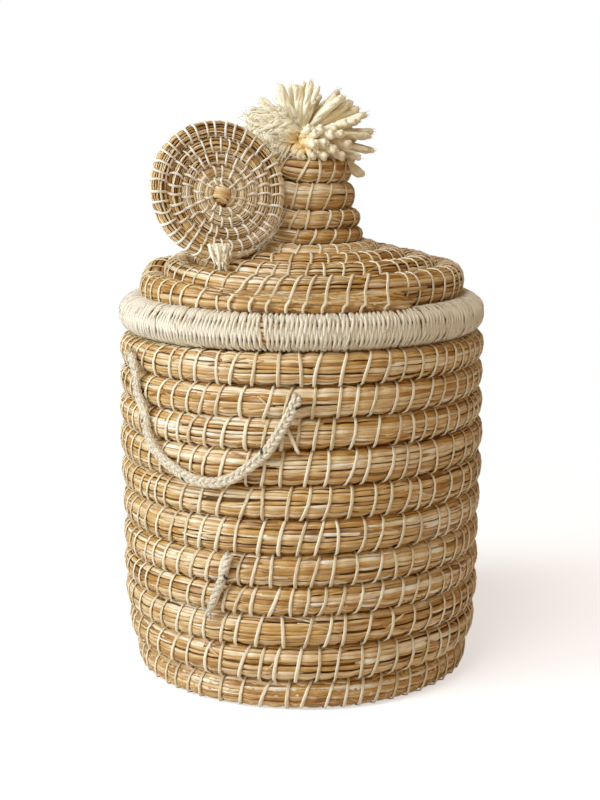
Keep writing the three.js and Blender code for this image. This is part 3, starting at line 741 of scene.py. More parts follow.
def lidRing(turn):
    c = lidCoil
    place = np.maximum(stepped(turn, c["stepFrom"], c["stepTo"], c["drift"]), 0)
    radius, level = listAt(c["radii"], place), lidSeat + listAt(c["levels"], place)
    halfWidth, halfHeight = listAt(c["halfWidths"], place) + 0.2, listAt(c["halfHeights"], place) + 0.4
    before = np.clip(-turn / c["start"], 0, 1)
    halfHeight = halfHeight * (1 - 0.45 * before)
    level = level + (c["halfHeights"][0] + 0.4 - halfHeight) * (turn < 0)
    past = np.maximum(turn - lidOuter - c["stepFrom"], 0)
    left = 1 - past / (c["stepTo"] - c["stepFrom"] + c["tailEnd"] + c["tailBlunt"])
    out = c["tailReach"] * smoothStep(past / (c["stepTo"] - c["stepFrom"]))
    thinHeight = halfHeight * left
    tail = past > 0
    tailRadius = c["radii"][-1] + out
    tailLevel = rimTopAt(tailRadius) + 0.2 + thinHeight
    blend = smoothStep(past / 0.05)
    radius = np.where(tail, tailRadius, radius)
    level = np.where(tail, level + (tailLevel - level) * blend, level)
    halfWidth = np.where(tail, halfWidth * left, halfWidth)
    return radius, level, halfWidth, np.where(tail, thinHeight, halfHeight)


lidStart, lidEnd = -lidCoil["start"], lidOuter + 1 + lidCoil["tailEnd"]
lid = makeCoil(lidRing, lidStart, lidEnd, lidSewing, lidCoil["seed"])
lidStraw = {**outsideStraw, "lanes": 23, "sides": (-120, 180), "run": (3, 8), "rings": 3, "width": 2.6,
            "strays": 120, "tail": 96}
lidUnderStraw = {**lidStraw, "lanes": 5, "sides": (-180, -120), "rings": 1, "width": 3.2}
lidThread = {**wallThread, "width": 1.8, "bite": 0.6}
tailSewn = (lidOuter - 0.068, lidOuter + 0.085)  # turns where one stitch holds the last course and the tail


def tailStitches(seed):
    # From the last course's top down its front, on over the tail's front and in under it.
    rng = np.random.default_rng(seed)
    turn = lid["stitches"][(lid["stitches"] > tailSewn[0]) & (lid["stitches"] < tailSewn[1])][:, None]
    upper = np.radians([178, 145, 112, 84, 60, 36, 12])[None] + 0 * turn
    lower = np.radians([26, 4, -18, -42, -70, -100])[None] + 0 * turn
    lean = (6.2 + 0.8 * rng.normal(size=turn.shape)) / (tau * 90) * np.array(
        [1, 1, 1, 0.8, 0.45, 0.15, -0.1, -0.35, -0.6, -0.66, -0.66, -0.66, -0.66])
    over = np.array([0, 0.2, 0.4, 0.5, 0.6, 0.9, 1.6, 1.6, 0.9, 0.6, 0.5, 0.3, 0])[None] + 0.2 + 0 * turn
    first = coilSurface(lid, turn + lean[:, :7], upper, over[:, :7])
    second = coilSurface(lid, turn + 1 + lean[:, 7:], lower, over[:, 7:])
    point, _, normal = (np.concatenate([a, b], 1) for a, b in zip(first, second))
    ahead = unit(np.gradient(point, axis=1))
    across = unit(np.cross(ahead, normal)) * lidThread["width"] / 2
    return tubeBatch(point, across, normal * lidThread["thick"] / 2, 6, tone=rng.random(len(turn)))


def tailStraws(seed):
    # Straws laid in the groove between the last course and the tail, some crossing from one to the other.
    rng, count = np.random.default_rng(seed), lidStraw["tail"]
    share = np.linspace(0, 1, 7)
    start = rng.uniform(lidOuter - 0.09, lidOuter + 0.06, (count, 1))
    turn = start + rng.uniform(0.03, 0.075, (count, 1)) * share
    part = rng.uniform(-0.1, 1.1, (count, 1)) + rng.normal(size=(count, 1)) * 0.7 * (share - 0.5)
    upper, _, normal = coilSurface(lid, turn, np.radians(8) + 0 * turn, 0.1)
    lower = coilSurface(lid, turn + 1, np.radians(38) + 0 * turn, 0.1)[0]
    bulge = 0.7 - 1.5 * np.abs(2 * share - 1) ** 4 + 0.7 * rng.random((count, 1))
    point = upper + (lower - upper) * np.clip(part, 0, 1)[..., None] + normal * bulge[..., None]
    across = acrossOf(point, normal) * 0.95
    return tubeBatch(point, across, normal * 0.5, 5, tone=rng.random(count))


lidOwner = ("lid", "straw", ["lid_coil"])
makePiece("lidCore", [coreBatch(lid, lidStart, lidEnd, inset=0.9)], coreFinish, *lidOwner)
makePiece("lidStraw", layStraws(lid, lidStraw, lidStart, lidEnd, 61)
          + layStraws(lid, lidUnderStraw, 0, lidEnd, 62)
          + [strayStraws(lid, lidStraw, 0.5, lidEnd - 0.6, 64), tailStraws(65)], strawFinish, *lidOwner)
lidStitches = sewStitches(lid, lidThread, lidStart, lidEnd, 63, skip=[tailSewn, (1 + tailSewn[0], lidEnd)])
makePiece("lidStitches", [lidStitches, tailStitches(66)], stitchFinish, *lidOwner)


# Rosette: its own frame has Y downwards, Z towards the front and X to the left
rosette = {
    "radius": 39.2, "turns": 5, "start": 0.45, "end": 0.42, "firstWidth": 4.8, "widening": 0.8,
    "thickness": 8.4, "buttonRadius": 4.6, "buttonProud": 1.2, "offset": 2.8, "turned": 22, "lean": 12,
    "stepFrom": 0.3, "stepTo": 0.7, "drift": 0.35, "seed": 13,
}
rosetteSewing = {"stitchEvery": 5.7, "stitchSide": 0.3, "uneven": 0.22, "slant": 0.9, "pinch": 0.4,
                 "fullness": 0.85}


def rosetteBasis():
    turned, lean = np.radians(rosette["turned"]), np.radians(rosette["lean"])
    facing = np.array([math.sin(turned) * math.cos(lean), -math.cos(turned) * math.cos(lean),
                       math.sin(lean)])
    across = np.array([-math.cos(turned), -math.sin(turned), 0])
    return np.stack([across, np.cross(facing, across), facing])


rosetteAxes = rosetteBasis()
rosetteMiddle = sum(cadCorners("rosette_button")) / 2 - rosetteAxes[2] * rosette["buttonProud"] / 2


def rosetteEdge(turn):
    r = rosette
    place = stepped(turn, r["stepFrom"], r["stepTo"], r["drift"])
    widened = (r["firstWidth"] + r["widening"] * place / 2) * place
    rounded = np.minimum(r["radius"], r["buttonRadius"] + widened)
    return rounded + r["offset"] * (rounded / r["radius"]) ** 2 * np.cos(tau * turn)


def rosetteRing(turn):
    inner = np.where(turn < 0, rosette["buttonRadius"], rosetteEdge(turn))
    outer = rosetteEdge(turn + 1)
    halfWidth = (outer - inner) / 2
    return (outer + inner) / 2, 0 * turn, halfWidth, np.minimum(rosette["thickness"] / 2, 2 * halfWidth)


rosetteStart, rosetteEnd = -rosette["start"], rosette["turns"] - rosette["end"]
disc = makeCoil(rosetteRing, rosetteStart, rosetteEnd, rosetteSewing, rosette["seed"],
                (rosetteMiddle, rosetteAxes))
discStraw = {"lanes": 24, "sides": (-180, 180), "run": (3, 10), "rings": 2, "width": 1.05, "thick": 1.0,
             "lift": 0.5, "raise": -0.2, "stray": 0.08, "tuck": 0.3, "strays": 160}
discThread = {"width": 1.75, "thick": 1.1, "lift": 0.5, "bite": 0.0}
# Paler than the wall's straw, as painted light: the disc's and button's shades are raised because the lamps
# reach the disc only at a slant.
litDiscShades = [
    (0.0, colour(112, 70, 22)), (0.2, colour(174, 128, 58)), (0.42, colour(226, 187, 116)),
    (0.64, colour(244, 222, 172)), (1.0, colour(253, 244, 218)),
]
palePatch = (rosetteMiddle - 10 * rosetteAxes[0] + 7 * rosetteAxes[1]) * mm
discFinish = strawMaterial("rosette straw", litDiscShades, (tuple(palePatch), 0.03, colour(250, 236, 200)))
buttonFinish = strawMaterial("rosette button", litDiscShades)
discOwner = ("rosette", "straw", ["rosette_coil"])
makePiece("rosetteCore", [coreBatch(disc, rosetteStart, rosetteEnd, inset=0.6, perTurn=48, sides=10)],
          coreFinish, *discOwner)
makePiece("rosetteStraw", layStraws(disc, discStraw, rosetteStart, rosetteEnd, 71)
          + [strayStraws(disc, discStraw, 0, rosetteEnd, 74)], discFinish, *discOwner)
makePiece("rosetteStitches", [sewStitches(disc, discThread, rosetteStart, rosetteEnd, 72, rings=12)],
          discThreadFinish, *discOwner)
buttonFace = rosetteMiddle + rosetteAxes[2] * (rosette["thickness"] / 2 - 1.2)
buttonProfile = [[1, 5.6], [3.2, 4.8], [4.4, 2.6], [6.6, 0.6], [6.6, -3.4], [1, -3.4]]
rosetteKnot = [woundBall(buttonFace, rosetteAxes, rosette["buttonRadius"] + 0.1, proud=3.6, tilt=-16,
                         wraps=7, thick=1.9, rng=np.random.default_rng(73)),
               turnedBody(np.array(buttonProfile), rosetteAxes, rosetteMiddle)]
makePiece("rosetteButton", rosetteKnot, buttonFinish, "rosette", "straw_knot", ["rosette_button"])


# Pompom
pompomMiddle = np.array([0, 0, neckMouth + 10.2])
pompomValley = tuple((pompomMiddle + np.array([0, -20, -3])) * mm)
woolFinish = yarnMaterial("cream wool", wool, colour(245, 237, 207), colour(240, 221, 176),
                          plies=2, twist=0.02, hollowAt=pompomValley)
fluffFinish = yarnMaterial("combed wool", wool, colour(243, 236, 208), colour(240, 226, 188),
                           plies=2, twist=0.02, relief=0.1, hollowAt=pompomValley)
pompomOwner = ("lid", "wool", ["pompom"])

# Its strands by where they end, in millimetres from its heart
pompom = {
    "thick": 2.1, "pitch": 32, "seed": 81, "others": 80, "reach": 41, "rise": 34, "droop": 22,
    "lobes": [  # middle and radii of the combed side's soft body
        (-20, -5, 10, 11, 10, 8), (-12, -12, 3, 12, 10, 9), (-21, -8, 3, 9, 9, 8), (-11, -15, -6, 7, 7, 6),
        (-13, -3, 11, 11, 9, 7), (-16, 8, 6, 11, 10, 9),
    ],
    "feathers": 600, "fibres": 140, "hanging": 34,
    "frays": [(2, 3.4), (3, 1.2), (2, 2.6)],  # fibres at a strand's end and their reach
    "outline": [
        (-13, -4, 31.6), (-6.7, 2, 31), (-3.3, -6, 31.5), (1.5, -3, 33), (5.3, -7, 33.4), (9.5, -9, 30.2),
        (-24, -3, 20.5), (-29.5, -4, 16.5), (-32, -5, 12), (-30.5, -6, 6),
        (21.8, -1, 27.9), (25, -7, 24.8), (29.7, -2, 22.2), (32.1, 4, 18.4), (38.6, -2, 14.5),
        (35, -9, 11.2), (42.1, -1, 4.6), (40.7, -8, 1.9), (42.5, -5, -6.9), (34.3, -14, -10.6),
    ],
    "finger": (36.4, -10, -21.2),
    "ends": [
        (5.2, -28, 6.9), (8.6, -29, 3.9), (12.4, -26, 6.4), (20.7, -23, 6.4), (18.6, -26, 3),
        (24.4, -24, 3.4), (28.4, -22, -3), (8.7, -31, -3.2), (14.4, -30, -2.2), (20.4, -27, -6.2),
        (10.3, -27, -8.9), (14.6, -26, -10), (6.4, -28, -10.4), (-0.6, -27, -11.2), (-4.9, -26, -8.9),
        (25, -21, -10), (27, -18, 10),
    ],
    "tassels": [(-11.4, -27, -13.4), (-16.9, -24, -10.3), (-15.2, -25, -13.5), (-20.8, -20, -7.7)],
}


def fanDirections(count, lowest, rng):
    height = 1 - (np.arange(count) + 0.5) / count * (1 - lowest)
    angle = np.arange(count) * math.pi * (3 - math.sqrt(5)) + 0.25 * rng.normal(size=count)
    return unit(onBall(height, angle) + 0.09 * rng.normal(size=(count, 3)))


def pompomExtent(direction):
    upright = np.where(direction[:, 2] > 0, pompom["rise"], pompom["droop"])
    flat = np.hypot(direction[:, 0], direction[:, 1]) / pompom["reach"]
    return 1 / np.cbrt(flat ** 3 + np.abs(direction[:, 2] / upright) ** 3)


def yarnStrands(tips, thick, rng, pitch, parted, root=(0, 0, 0)):
    # Three plies wind round each strand's path from its root to its tip and end bluntly, at slightly
    # different lengths. Parted 0 sinks them into each other, 1 leaves them side by side.
    count, rings = len(tips), 13
    reach = np.concatenate([np.linspace(0, 0.93, rings - 3), [0.965, 0.99, 1.0]])
    blunt = np.concatenate([np.ones(rings - 3), [0.9, 0.66, 0.24]])
    way, length = unit(tips - root), np.linalg.norm(tips - root, axis=1)[:, None]
    bend = (sidewaysOf(way) * 1.3 * rng.normal(size=(count, 1))
            + np.array([0, 0, 1]) * (0.6 + 1.4 * rng.random((count, 1))))
    turned = tau * rng.random((count, 1))
    fatness = 0.9 + 0.22 * rng.random((count, 1))
    tips, length, bend, turned, fatness = (
        np.repeat(x, 3, 0) for x in (tips, length, bend, turned, fatness))
    share = reach * (0.95 + 0.05 * rng.random((3 * count, 1)))
    path = (pompomMiddle + root + (tips - root)[:, None] * share[..., None]
            + bend[:, None] * (4 * share * (1 - share))[..., None])
    ahead, side, above = pathAxes(path)
    phase = share * length / pitch * tau + turned + tau / 3 * np.tile(np.arange(3), count)[:, None]
    fat = thick * fatness * (0.6 + 0.4 * smoothStep(share * 1.7))
    apart = fat * (0.3 + 0.2 * parted)
    path = path + apart[..., None] * (np.cos(phase)[..., None] * side + np.sin(phase)[..., None] * above)
    ahead, side, above = pathAxes(path)
    wide = (fat * (0.78 - 0.2 * parted) * blunt)[..., None]
    tone = np.repeat(rng.random(count), 3) * 0.9 + 0.1 * rng.random(3 * count)
    return tubeBatch(path, side * wide, above * wide, 9, tone=tone), (path, ahead, side, above)


def petals(tips, rng):  # each strand with a neighbour at both sides, a little shorter
    apart = sidewaysOf(unit(tips)) * (3.4 + 0.6 * rng.random((len(tips), 1)))
    shorter = tips * (0.88 + 0.06 * rng.random((len(tips), 1)))
    return np.concatenate([tips, tips * 0.95 + apart, shorter - apart])


def frayedTips(path, ahead, side, above, rng, fibres, reach):
    # Fine fibres that leave each strand's end and splay.
    count = len(path)
    share = np.linspace(0, 1, 5)[None, None, :, None]
    angle = tau * rng.random((count, fibres, 1, 1))
    radial = np.cos(angle) * side[:, -1, None, None] + np.sin(angle) * above[:, -1, None, None]
    length = reach * (0.3 + 0.9 * rng.random((count, fibres, 1, 1)))
    start = path[:, -1, None, None] - ahead[:, -1, None, None] * 1.6 + radial * 0.8
    splay = radial * (0.2 + rng.random((count, fibres, 1, 1))) * 0.9 * share ** 2
    point = start + ahead[:, -1, None, None] * length * share + splay
    return fibreTubes(point.reshape(count * fibres, 5, 3), 0.2, rng, woolStart)


def feathers(root, heading, length, thick, rng, wave):
    # Tapering wisps that sway sideways, blunt at the root and fine at the end.
    share = shares(6)
    phase = tau * rng.random((len(root), 1, 1))
    sway = wave * (np.sin(3.6 * share + phase) - np.sin(phase)) * sidewaysOf(heading)[:, None]
    point = root[:, None] + heading[:, None] * length[:, None, None] * share + sway
    _, side, above = pathAxes(point)
    wide = thick[:, None, None] * ((0.6 + 0.8 * share) * (1 - share) ** 0.7 + 0.06)
    wisps = tubeBatch(point, side * wide, above * wide, 5, tone=rng.random(len(root)))
    wisps["uv"][:, 0] += woolStart
    return wisps


def roundBall(middle, radii, tone):
    turn, tilt = roundSteps(20), np.linspace(0.1, math.pi - 0.1, 12)
    ball = np.stack([np.outer(np.sin(tilt), np.cos(turn)), np.outer(np.sin(tilt), np.sin(turn)),
                     np.outer(np.cos(tilt), np.ones(20))], -1)
    return gridBatch(middle + ball * np.array(radii), tone)


def combedSide(rng):
    # Soft lobes, covered with wisps and a few fibres that lie on them and point away from the heart.
    lobes = np.array(pompom["lobes"], float)
    few, count = pompom["feathers"], pompom["feathers"] + pompom["fibres"]
    owner = rng.choice(len(lobes), count, p=lobes[:, 3] ** 2 / np.sum(lobes[:, 3] ** 2))
    ball = onBall(rng.uniform(-0.95, 1, count), rng.uniform(0, tau, count))
    start = lobes[owner, :3] + ball * lobes[owner, 3:] * 0.95
    normal = unit(ball / lobes[owner, 3:])
    away = unit(start - np.array([2, -4, 0]))
    heading = unit(away - 0.96 * np.sum(away * normal, 1)[:, None] * normal
                   + 0.12 * rng.normal(size=(count, 3)))
    length = rng.uniform(6, 12, count)
    wisps = feathers(pompomMiddle + start[:few] - heading[:few] * 3, heading[:few], length[:few],
                     rng.uniform(0.95, 1.8, few), rng, wave=0.9)
    share = shares(6)
    wave = tau * (share * 0.8 + rng.random((count - few, 1, 1)))
    bend = sidewaysOf(heading[few:])[:, None] * np.sin(wave) * 0.6 * share
    hairs = (pompomMiddle + start[few:] + normal[few:] * 1.2)[:, None] + bend
    hairs = hairs + heading[few:, None] * length[few:, None, None] * 0.9 * share
    soft = [roundBall(pompomMiddle + lobe[:3], lobe[3:], 0.9) for lobe in lobes]
    return [*soft, wisps, fibreTubes(hairs, 0.16, rng, woolStart)]


def makePompom():
    rng = np.random.default_rng(pompom["seed"])
    outline, ends, tassels = (np.array(pompom[key]) for key in ("outline", "ends", "tassels"))
    direction = fanDirections(pompom["others"] * 2, -0.45, rng)
    others = direction * pompomExtent(direction)[:, None] * (0.74 + 0.18 * rng.random((len(direction), 1)))
    combed = (direction[:, 0] < 0.3 - 0.5 * direction[:, 2]) & (direction[:, 1] < 0.3)
    others = others[~combed & (direction[:, 1] > -0.22)]
    thick, pitch = pompom["thick"], pompom["pitch"]
    fans = np.concatenate([outline[:10], petals(outline[10:], rng)])
    main, mainGrips = yarnStrands(fans, thick, rng, pitch, parted=0.1)
    front, frontGrips = yarnStrands(ends, thick * 1.3, rng, pitch=12, parted=0.75, root=(-2, -15, -3))
    finger = yarnStrands(np.array([pompom["finger"]]), thick * 1.4, rng, pitch=60, parted=0)[0]
    rest, restGrips = yarnStrands(others, thick, rng, pitch, parted=0.2)
    makePiece("pompomYarn", [main, front, finger, rest], woolFinish, *pompomOwner)
    frays = zip((mainGrips, frontGrips, restGrips), pompom["frays"])
    makePiece("pompomFibres", [frayedTips(*grips, rng, *sizes) for grips, sizes in frays], fluffFinish,
              *pompomOwner)
    count = pompom["hanging"]
    root = np.array([-8, -15, -3]) + rng.normal(size=(count, 3)) * [3, 2, 2]
    tip = tassels[rng.integers(0, len(tassels), count)] + rng.normal(size=(count, 3)) * 1.1
    hanging = feathers(pompomMiddle + root, unit(tip - root), np.linalg.norm(tip - root, axis=1),
                       rng.uniform(0.6, 1.2, count), rng, wave=0.8)
    makePiece("pompomFluff", [*combedSide(rng), hanging], fluffFinish, *pompomOwner)
    heart = roundBall(pompomMiddle, (9, 9, 9), tone=0.2)
    stem = roundBall(pompomMiddle - np.array([0, 0, 12.0]), (13.5, 13.5, 4), tone=0.2)
    makePiece("pompomHeart", [heart, stem], woolFinish, *pompomOwner)


makePompom()


# Wool tie at the rosette's foot: a tuft that narrows downwards, and hairs that trail along the disc's edge
tie = {"wisps": 130, "rootSpans": ((-5, 8.5), (-8, -1), (-2.5, 2.5)), "tip": (0.5, 8.5, 0.5),
       "knots": [((2, -4.5, -0.5), (6, 3, 3.6)), ((1, 0.5, -0.5), (3.4, 2.6, 4))],  # middles and radii
       "hairs": 44, "hairsOut": 37.5, "hairsProud": 4.4, "seed": 91}


def makeTie():
    rng = np.random.default_rng(tie["seed"])
    middle = sum(cadCorners("rosette_tie")) / 2
    count = tie["wisps"]
    root = np.stack([rng.uniform(low, high, count) for low, high in tie["rootSpans"]], -1)
    root[:, 0] *= 1 - 0.08 * (root[:, 1] + 8)
    tip = np.array(tie["tip"]) + rng.normal(size=(count, 3)) * [1.6, 1.2, 0.7]
    span = np.linalg.norm(tip - root, axis=1)
    wisps = feathers(middle + root @ rosetteAxes, unit(tip - root) @ rosetteAxes,
                     span * rng.uniform(0.5, 1, count), rng.uniform(0.8, 1.5, count), rng, wave=1.0)
    knots = [roundBall(middle + np.array(place) @ rosetteAxes, radii, 0.8) for place, radii in tie["knots"]]
    size = (tie["hairs"], 1)
    turned = np.radians(rng.uniform(4, 60, size) + rng.uniform(6, 22, size) * np.linspace(0, 1, 7))
    distance = (tie["hairsOut"] + 1.3 * rng.normal(size=size)
                + 0.8 * np.sin(turned * 9 + rng.uniform(0, 6, size)))
    local = np.stack([-distance * np.sin(turned), distance * np.cos(turned) - rosette["offset"],
                      tie["hairsProud"] + 0.9 * rng.random(size) + 0 * turned], -1)
    hairs = fibreTubes(rosetteMiddle + local @ rosetteAxes, 0.14, rng, woolStart)
    makePiece("woolTie", [wisps, *knots, hairs], tieFinish, "rosette", "wool", ["rosette_tie"])


makeTie()


# Cords on the wall: [degrees round from the front, height] at their middle, as in the model. A fringe is
# its number of fibres, their spread and their reach.
swag = {
    "route": [
        (-59.8, 194), (-57, 184), (-56, 173), (-52, 163), (-50.5, 151), (-46, 142), (-40, 136),
        (-33, 131.5), (-26, 130.5), (-20, 134), (-14.5, 141.5), (-9.7, 150), (-6.3, 160), (-3.4, 170),
        (-1, 180),
    ],
    "radius": 2.5, "strand": 1.45, "pitch": 12.0, "wide": 1.75, "deep": 0.75,
    "fuzz": 420, "fringes": [(26, 0.5, 2.6), (40, 0.35, 5)], "seed": 101,
}
shortCord = {"route": [(-21, 91), (-22.6, 81), (-24.1, 73), (-25.9, 65), (-28.2, 55.5)], "radius": 2.5,
             "strand": 1.6, "pitch": 15.0, "fuzz": 260, "fringes": [(14, 0.1, 5), (10, 0.3, 3)],
             "seed": 102}


def smoothRoute(points, count):
    # A curve through the chosen points: each point's neighbours set its slope, and cubics join them.
    points = np.asarray(points, float)
    slopes = np.gradient(points, axis=0)
    place = np.linspace(0, len(points) - 1, 600)
    i = np.minimum(place.astype(int), len(points) - 2)
    t = (place - i)[:, None]
    a, b, da, db = points[i], points[i + 1], slopes[i], slopes[i + 1]
    curve = ((2 * t ** 3 - 3 * t ** 2 + 1) * a + (t ** 3 - 2 * t ** 2 + t) * da
             + (3 * t ** 2 - 2 * t ** 3) * b + (t ** 3 - t ** 2) * db)
    length = np.concatenate([[0], np.cumsum(np.linalg.norm(np.diff(curve, axis=0), axis=1))])
    even = np.linspace(0, length[-1], count)
    return np.stack([np.interp(even, length, curve[:, k]) for k in range(3)], -1), length[-1]


def wallPoints(degrees, level, proud):
    radius, angle = wallOutside(level) + proud, np.radians(degrees)
    return np.stack([radius * np.sin(angle), -radius * np.cos(angle), level + 0 * angle], -1)


def wallRoute(cord, count):
    degrees, level = np.array(cord["route"]).T
    return smoothRoute(wallPoints(degrees, level, cord["radius"] + 0.5), count)


def cordAxes(path):
    ahead = unit(np.gradient(path, axis=0))
    side = unit(np.cross(ahead, outwardOf(path)))
    return ahead, side, unit(np.cross(side, ahead))


def plyTubes(path, offsets, thick):
    # Strands at their offsets from the cord's middle, each a round tube that follows its own way.
    _, side, outward = cordAxes(path)
    centres = path[None] + offsets[0][..., None] * side + offsets[1][..., None] * outward
    along = unit(np.gradient(centres, axis=1))
    across = unit(np.cross(along, outward[None]))
    above = np.cross(across, along)
    thick = np.broadcast_to(thick, len(path))[:, None]
    tone = np.linspace(0.3, 0.9, len(centres))
    return tubeBatch(centres, across * thick, above * thick, 8, tone=tone)


def strayFuzz(path, rng, count, radius=2.1):
    # Short fine hairs that stand off a cord.
    _, side, outward = cordAxes(path)
    at = rng.integers(2, len(path) - 2, count)
    angle = math.pi * (rng.random((count, 1)) - 0.5) * 1.3
    radial = np.sin(angle) * side[at] + np.cos(angle) * outward[at]
    share = shares(5)
    drift = unit(radial * 0.5 + 0.9 * rng.normal(size=(count, 3)))[:, None]
    drift = drift * share * 2.6 * rng.random((count, 1, 1))
    point = path[at][:, None] + radial[:, None] * radius + drift
    return fibreTubes(point, 0.1, rng)


def fringe(path, rng, count, spread, reach):
    # Loose fibres that run on from a cord's last point, flat on the wall.
    ahead, side, outward = cordAxes(path)
    way = unit(ahead[-1] + spread * rng.normal(size=(count, 1)) * side[-1] - 0.1 * outward[-1])
    start = (path[-3] + side[-1] * 1.2 * rng.normal(size=(count, 1))
             + outward[-1] * 0.6 * rng.normal(size=(count, 1)))
    point = start[:, None] + way[:, None] * shares(6) * reach * (0.4 + 0.8 * rng.random((count, 1, 1)))
    return fibreTubes(point, 0.34, rng)


def endFringes(path, rng, cord):  # at the cord's last end, then at its first
    return [fringe(line, rng, *sizes) for line, sizes in zip((path, path[::-1]), cord["fringes"])]


def makeSwag():
    path, length = wallRoute(swag, 280)
    phase = tau * np.linspace(0, length / swag["pitch"], len(path)) + tau * np.arange(3)[:, None] / 3
    braid = plyTubes(path, (swag["wide"] * np.sin(phase), swag["deep"] * np.sin(2 * phase)), swag["strand"])
    rng = np.random.default_rng(swag["seed"])
    fuzz = strayFuzz(path, rng, swag["fuzz"])
    makePiece("swagBraid", [braid, fuzz, *endFringes(path, rng, swag)], cordFinish, "basket", "cream_cord",
              ["swag_cord"])
    print("swag cord", round(length, 1), "mm")
    return path


def makeShortCord():
    path, length = wallRoute(shortCord, 70)
    share = np.linspace(0, 1, len(path))
    phase = tau * share * length / shortCord["pitch"] + tau * np.arange(3)[:, None] / 3
    thin = 1 - 0.35 * smoothStep((share - 0.72) / 0.28)
    offsets = 1.05 * thin * np.sin(phase), 0.85 * thin * np.cos(phase)
    plies = plyTubes(path, offsets, shortCord["strand"] * thin)
    rng = np.random.default_rng(shortCord["seed"])
    fringes = endFringes(path, rng, shortCord)
    makePiece("shortCord", [plies, *fringes, strayFuzz(path, rng, shortCord["fuzz"])], cordFinish, "basket",
              "cream_cord", ["short_cord"])
    print("short cord", round(length, 1), "mm")
    return path


def threadTacks(name, path, places, edges, half, nodes):
    # Each tack is a pair of fine threads drawn tight over one edge of the cord, down to the wall.
    ahead, side, outward = cordAxes(path)
    at = (np.array(places) * (len(path) - 1)).astype(int).repeat(2)
    shift = np.tile([-0.5, 0.4], len(places))[:, None]
    angle = np.array(edges).repeat(2)[:, None, None] * np.radians(np.linspace(22, 128, 15))[None, :, None]
    skew = np.linspace(-1.5, 1.1, 15)[None, :, None]
    centre = (path[at] + ahead[at] * shift)[:, None] + ahead[at][:, None] * skew
    radial = np.sin(angle) * side[at][:, None] * half + np.cos(angle) * outward[at][:, None] * 2.1
    along = np.broadcast_to(ahead[at][:, None], radial.shape) * 0.46
    makePiece(name, [tubeBatch(centre + radial, along, unit(radial) * 0.3, 5)], tackFinish, "basket",
              "grey_thread", nodes)


def looseStitch(points):  # a cream stitch laid on the wall through [degrees, height] points
    degrees, level = np.array(points).T
    path = smoothRoute(wallPoints(degrees, level, 0.9), 14)[0]
    path = path - outwardOf(path) * 2.2 * np.linspace(-1, 1, 14)[:, None] ** 6
    _, side, outward = cordAxes(path)
    return tubeBatch(path[None], side[None] * 1.0, outward[None] * 0.5, 6, tone=np.array([0.6]))


swagPath = makeSwag()
shortPath = makeShortCord()
threadTacks("swagTacks", swagPath, places=[0.24, 0.49, 0.8, 0.975], edges=[1, 1, -1, 1], half=3.2,
            nodes=[f"swag_tie_{i}" for i in (1, 2, 3, 4)])
threadTacks("shortTack", shortPath, places=[0.36], edges=[-1], half=2.8, nodes=["short_tie_1"])
loose = looseStitch([(-4.6, 164), (-2.8, 157), (-0.8, 148.4)])
makePiece("looseStitches", [loose], stitchFinish, *bodyOwner)


# Stage and light
def stageMaterial():
    # White where the lamps reach it; the camera sees part of the white as its own glow, so that the
    # basket's shadow stays, and the floor fades into the white world at a distance.
    f = Finish("pale floor")
    tree = f.tree
    f.feed(f.shader.inputs["Base Color"], colour(244, 242, 238))
    f.feed(f.shader.inputs["Roughness"], 0.9)
    glow = f.add("Emission", {}, {"Color": (1, 1, 1, 1), "Strength": 0.6})
    plain = f.add("BsdfDiffuse", {}, {"Color": colour(214, 212, 208)})
    lit = f.add("AddShader", {}, {0: glow, 1: plain})
    clear = f.add("BsdfTransparent")
    away = f.add("VectorMath", {"operation": "LENGTH"}, {0: f.place()}, 1).above(0.24, 0.6)
    faded = f.add("MixShader", {}, {0: away, 1: lit, 2: clear})
    seen = f.add("LightPath")
    mixed = f.add("MixShader", {}, {0: seen, 1: Signal(f, f.shader.outputs[0]), 2: faded})
    tree.links.new(mixed.socket, tree.nodes["Material Output"].inputs["Surface"])
    return f.material


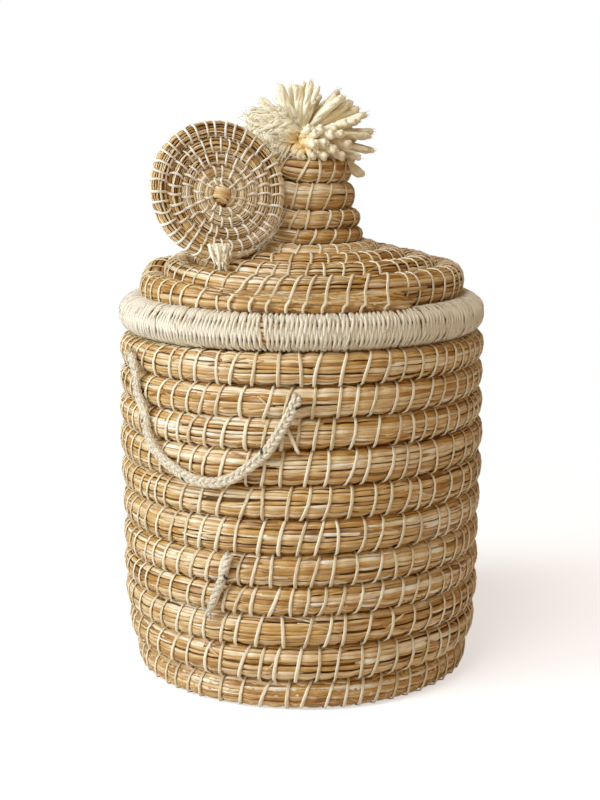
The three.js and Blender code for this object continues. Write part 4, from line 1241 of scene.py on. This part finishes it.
def makeStage():
    half = 6.0
    corners = [(-half, -half, 0), (half, -half, 0), (half, half, 0), (-half, half, 0)]
    mesh = bpy.data.meshes.new("floor")
    mesh.from_pydata(corners, [], [(0, 1, 2, 3)])
    mesh.materials.append(stageMaterial())
    floor = bpy.data.objects.new("floor", mesh)
    floor.location = (0, 0, -0.0005)
    bpy.context.collection.objects.link(floor)


def makeLamp(name, at, target, size, power, shade):
    data = bpy.data.lights.new(name, "AREA")
    data.shape, data.size, data.energy, data.color = "DISK", size, power, shade[:3]
    lamp = bpy.data.objects.new(name, data)
    lamp.location = at
    way = np.array(target) - np.array(at)
    flat = math.hypot(way[0], way[1])
    lamp.rotation_euler = (math.atan2(flat, -way[2]), 0, math.atan2(-way[0], way[1]))
    bpy.context.collection.objects.link(lamp)


def lightWorld(strength, shade):
    world = bpy.data.worlds.new("studio")
    bpy.context.scene.world = world
    world.use_nodes = True
    tree = world.node_tree
    soft = tree.nodes["Background"]
    soft.inputs["Color"].default_value, soft.inputs["Strength"].default_value = shade, strength
    white = tree.nodes.new("ShaderNodeBackground")
    white.inputs["Color"].default_value = (1, 1, 1, 1)
    seen, mixed = tree.nodes.new("ShaderNodeLightPath"), tree.nodes.new("ShaderNodeMixShader")
    tree.links.new(seen.outputs["Is Camera Ray"], mixed.inputs[0])
    tree.links.new(soft.outputs[0], mixed.inputs[1])
    tree.links.new(white.outputs[0], mixed.inputs[2])
    tree.links.new(mixed.outputs[0], tree.nodes["World Output"].inputs["Surface"])


lamps = {
    "window": {"at": (-2.1, -0.95, 0.95), "target": (0, 0, 0.17), "size": 1.1, "power": 51,
               "shade": colour(220, 235, 255)},
    "top": {"at": (-0.5, -1.0, 2.0), "target": (0, 0, 0.25), "size": 0.9, "power": 22,
            "shade": colour(238, 244, 255)},
    "fill": {"at": (1.2, -2.2, 0.8), "target": (0, 0, 0.17), "size": 1.2, "power": 2.5,
             "shade": colour(255, 216, 170)},
}
makeStage()
lightWorld(strength=0.28, shade=colour(255, 217, 170))
for name, lamp in lamps.items():
    makeLamp(name, **lamp)
print("stage and lamps made")
bpy.context.scene.view_settings.view_transform = "Standard"

print("basket ready")
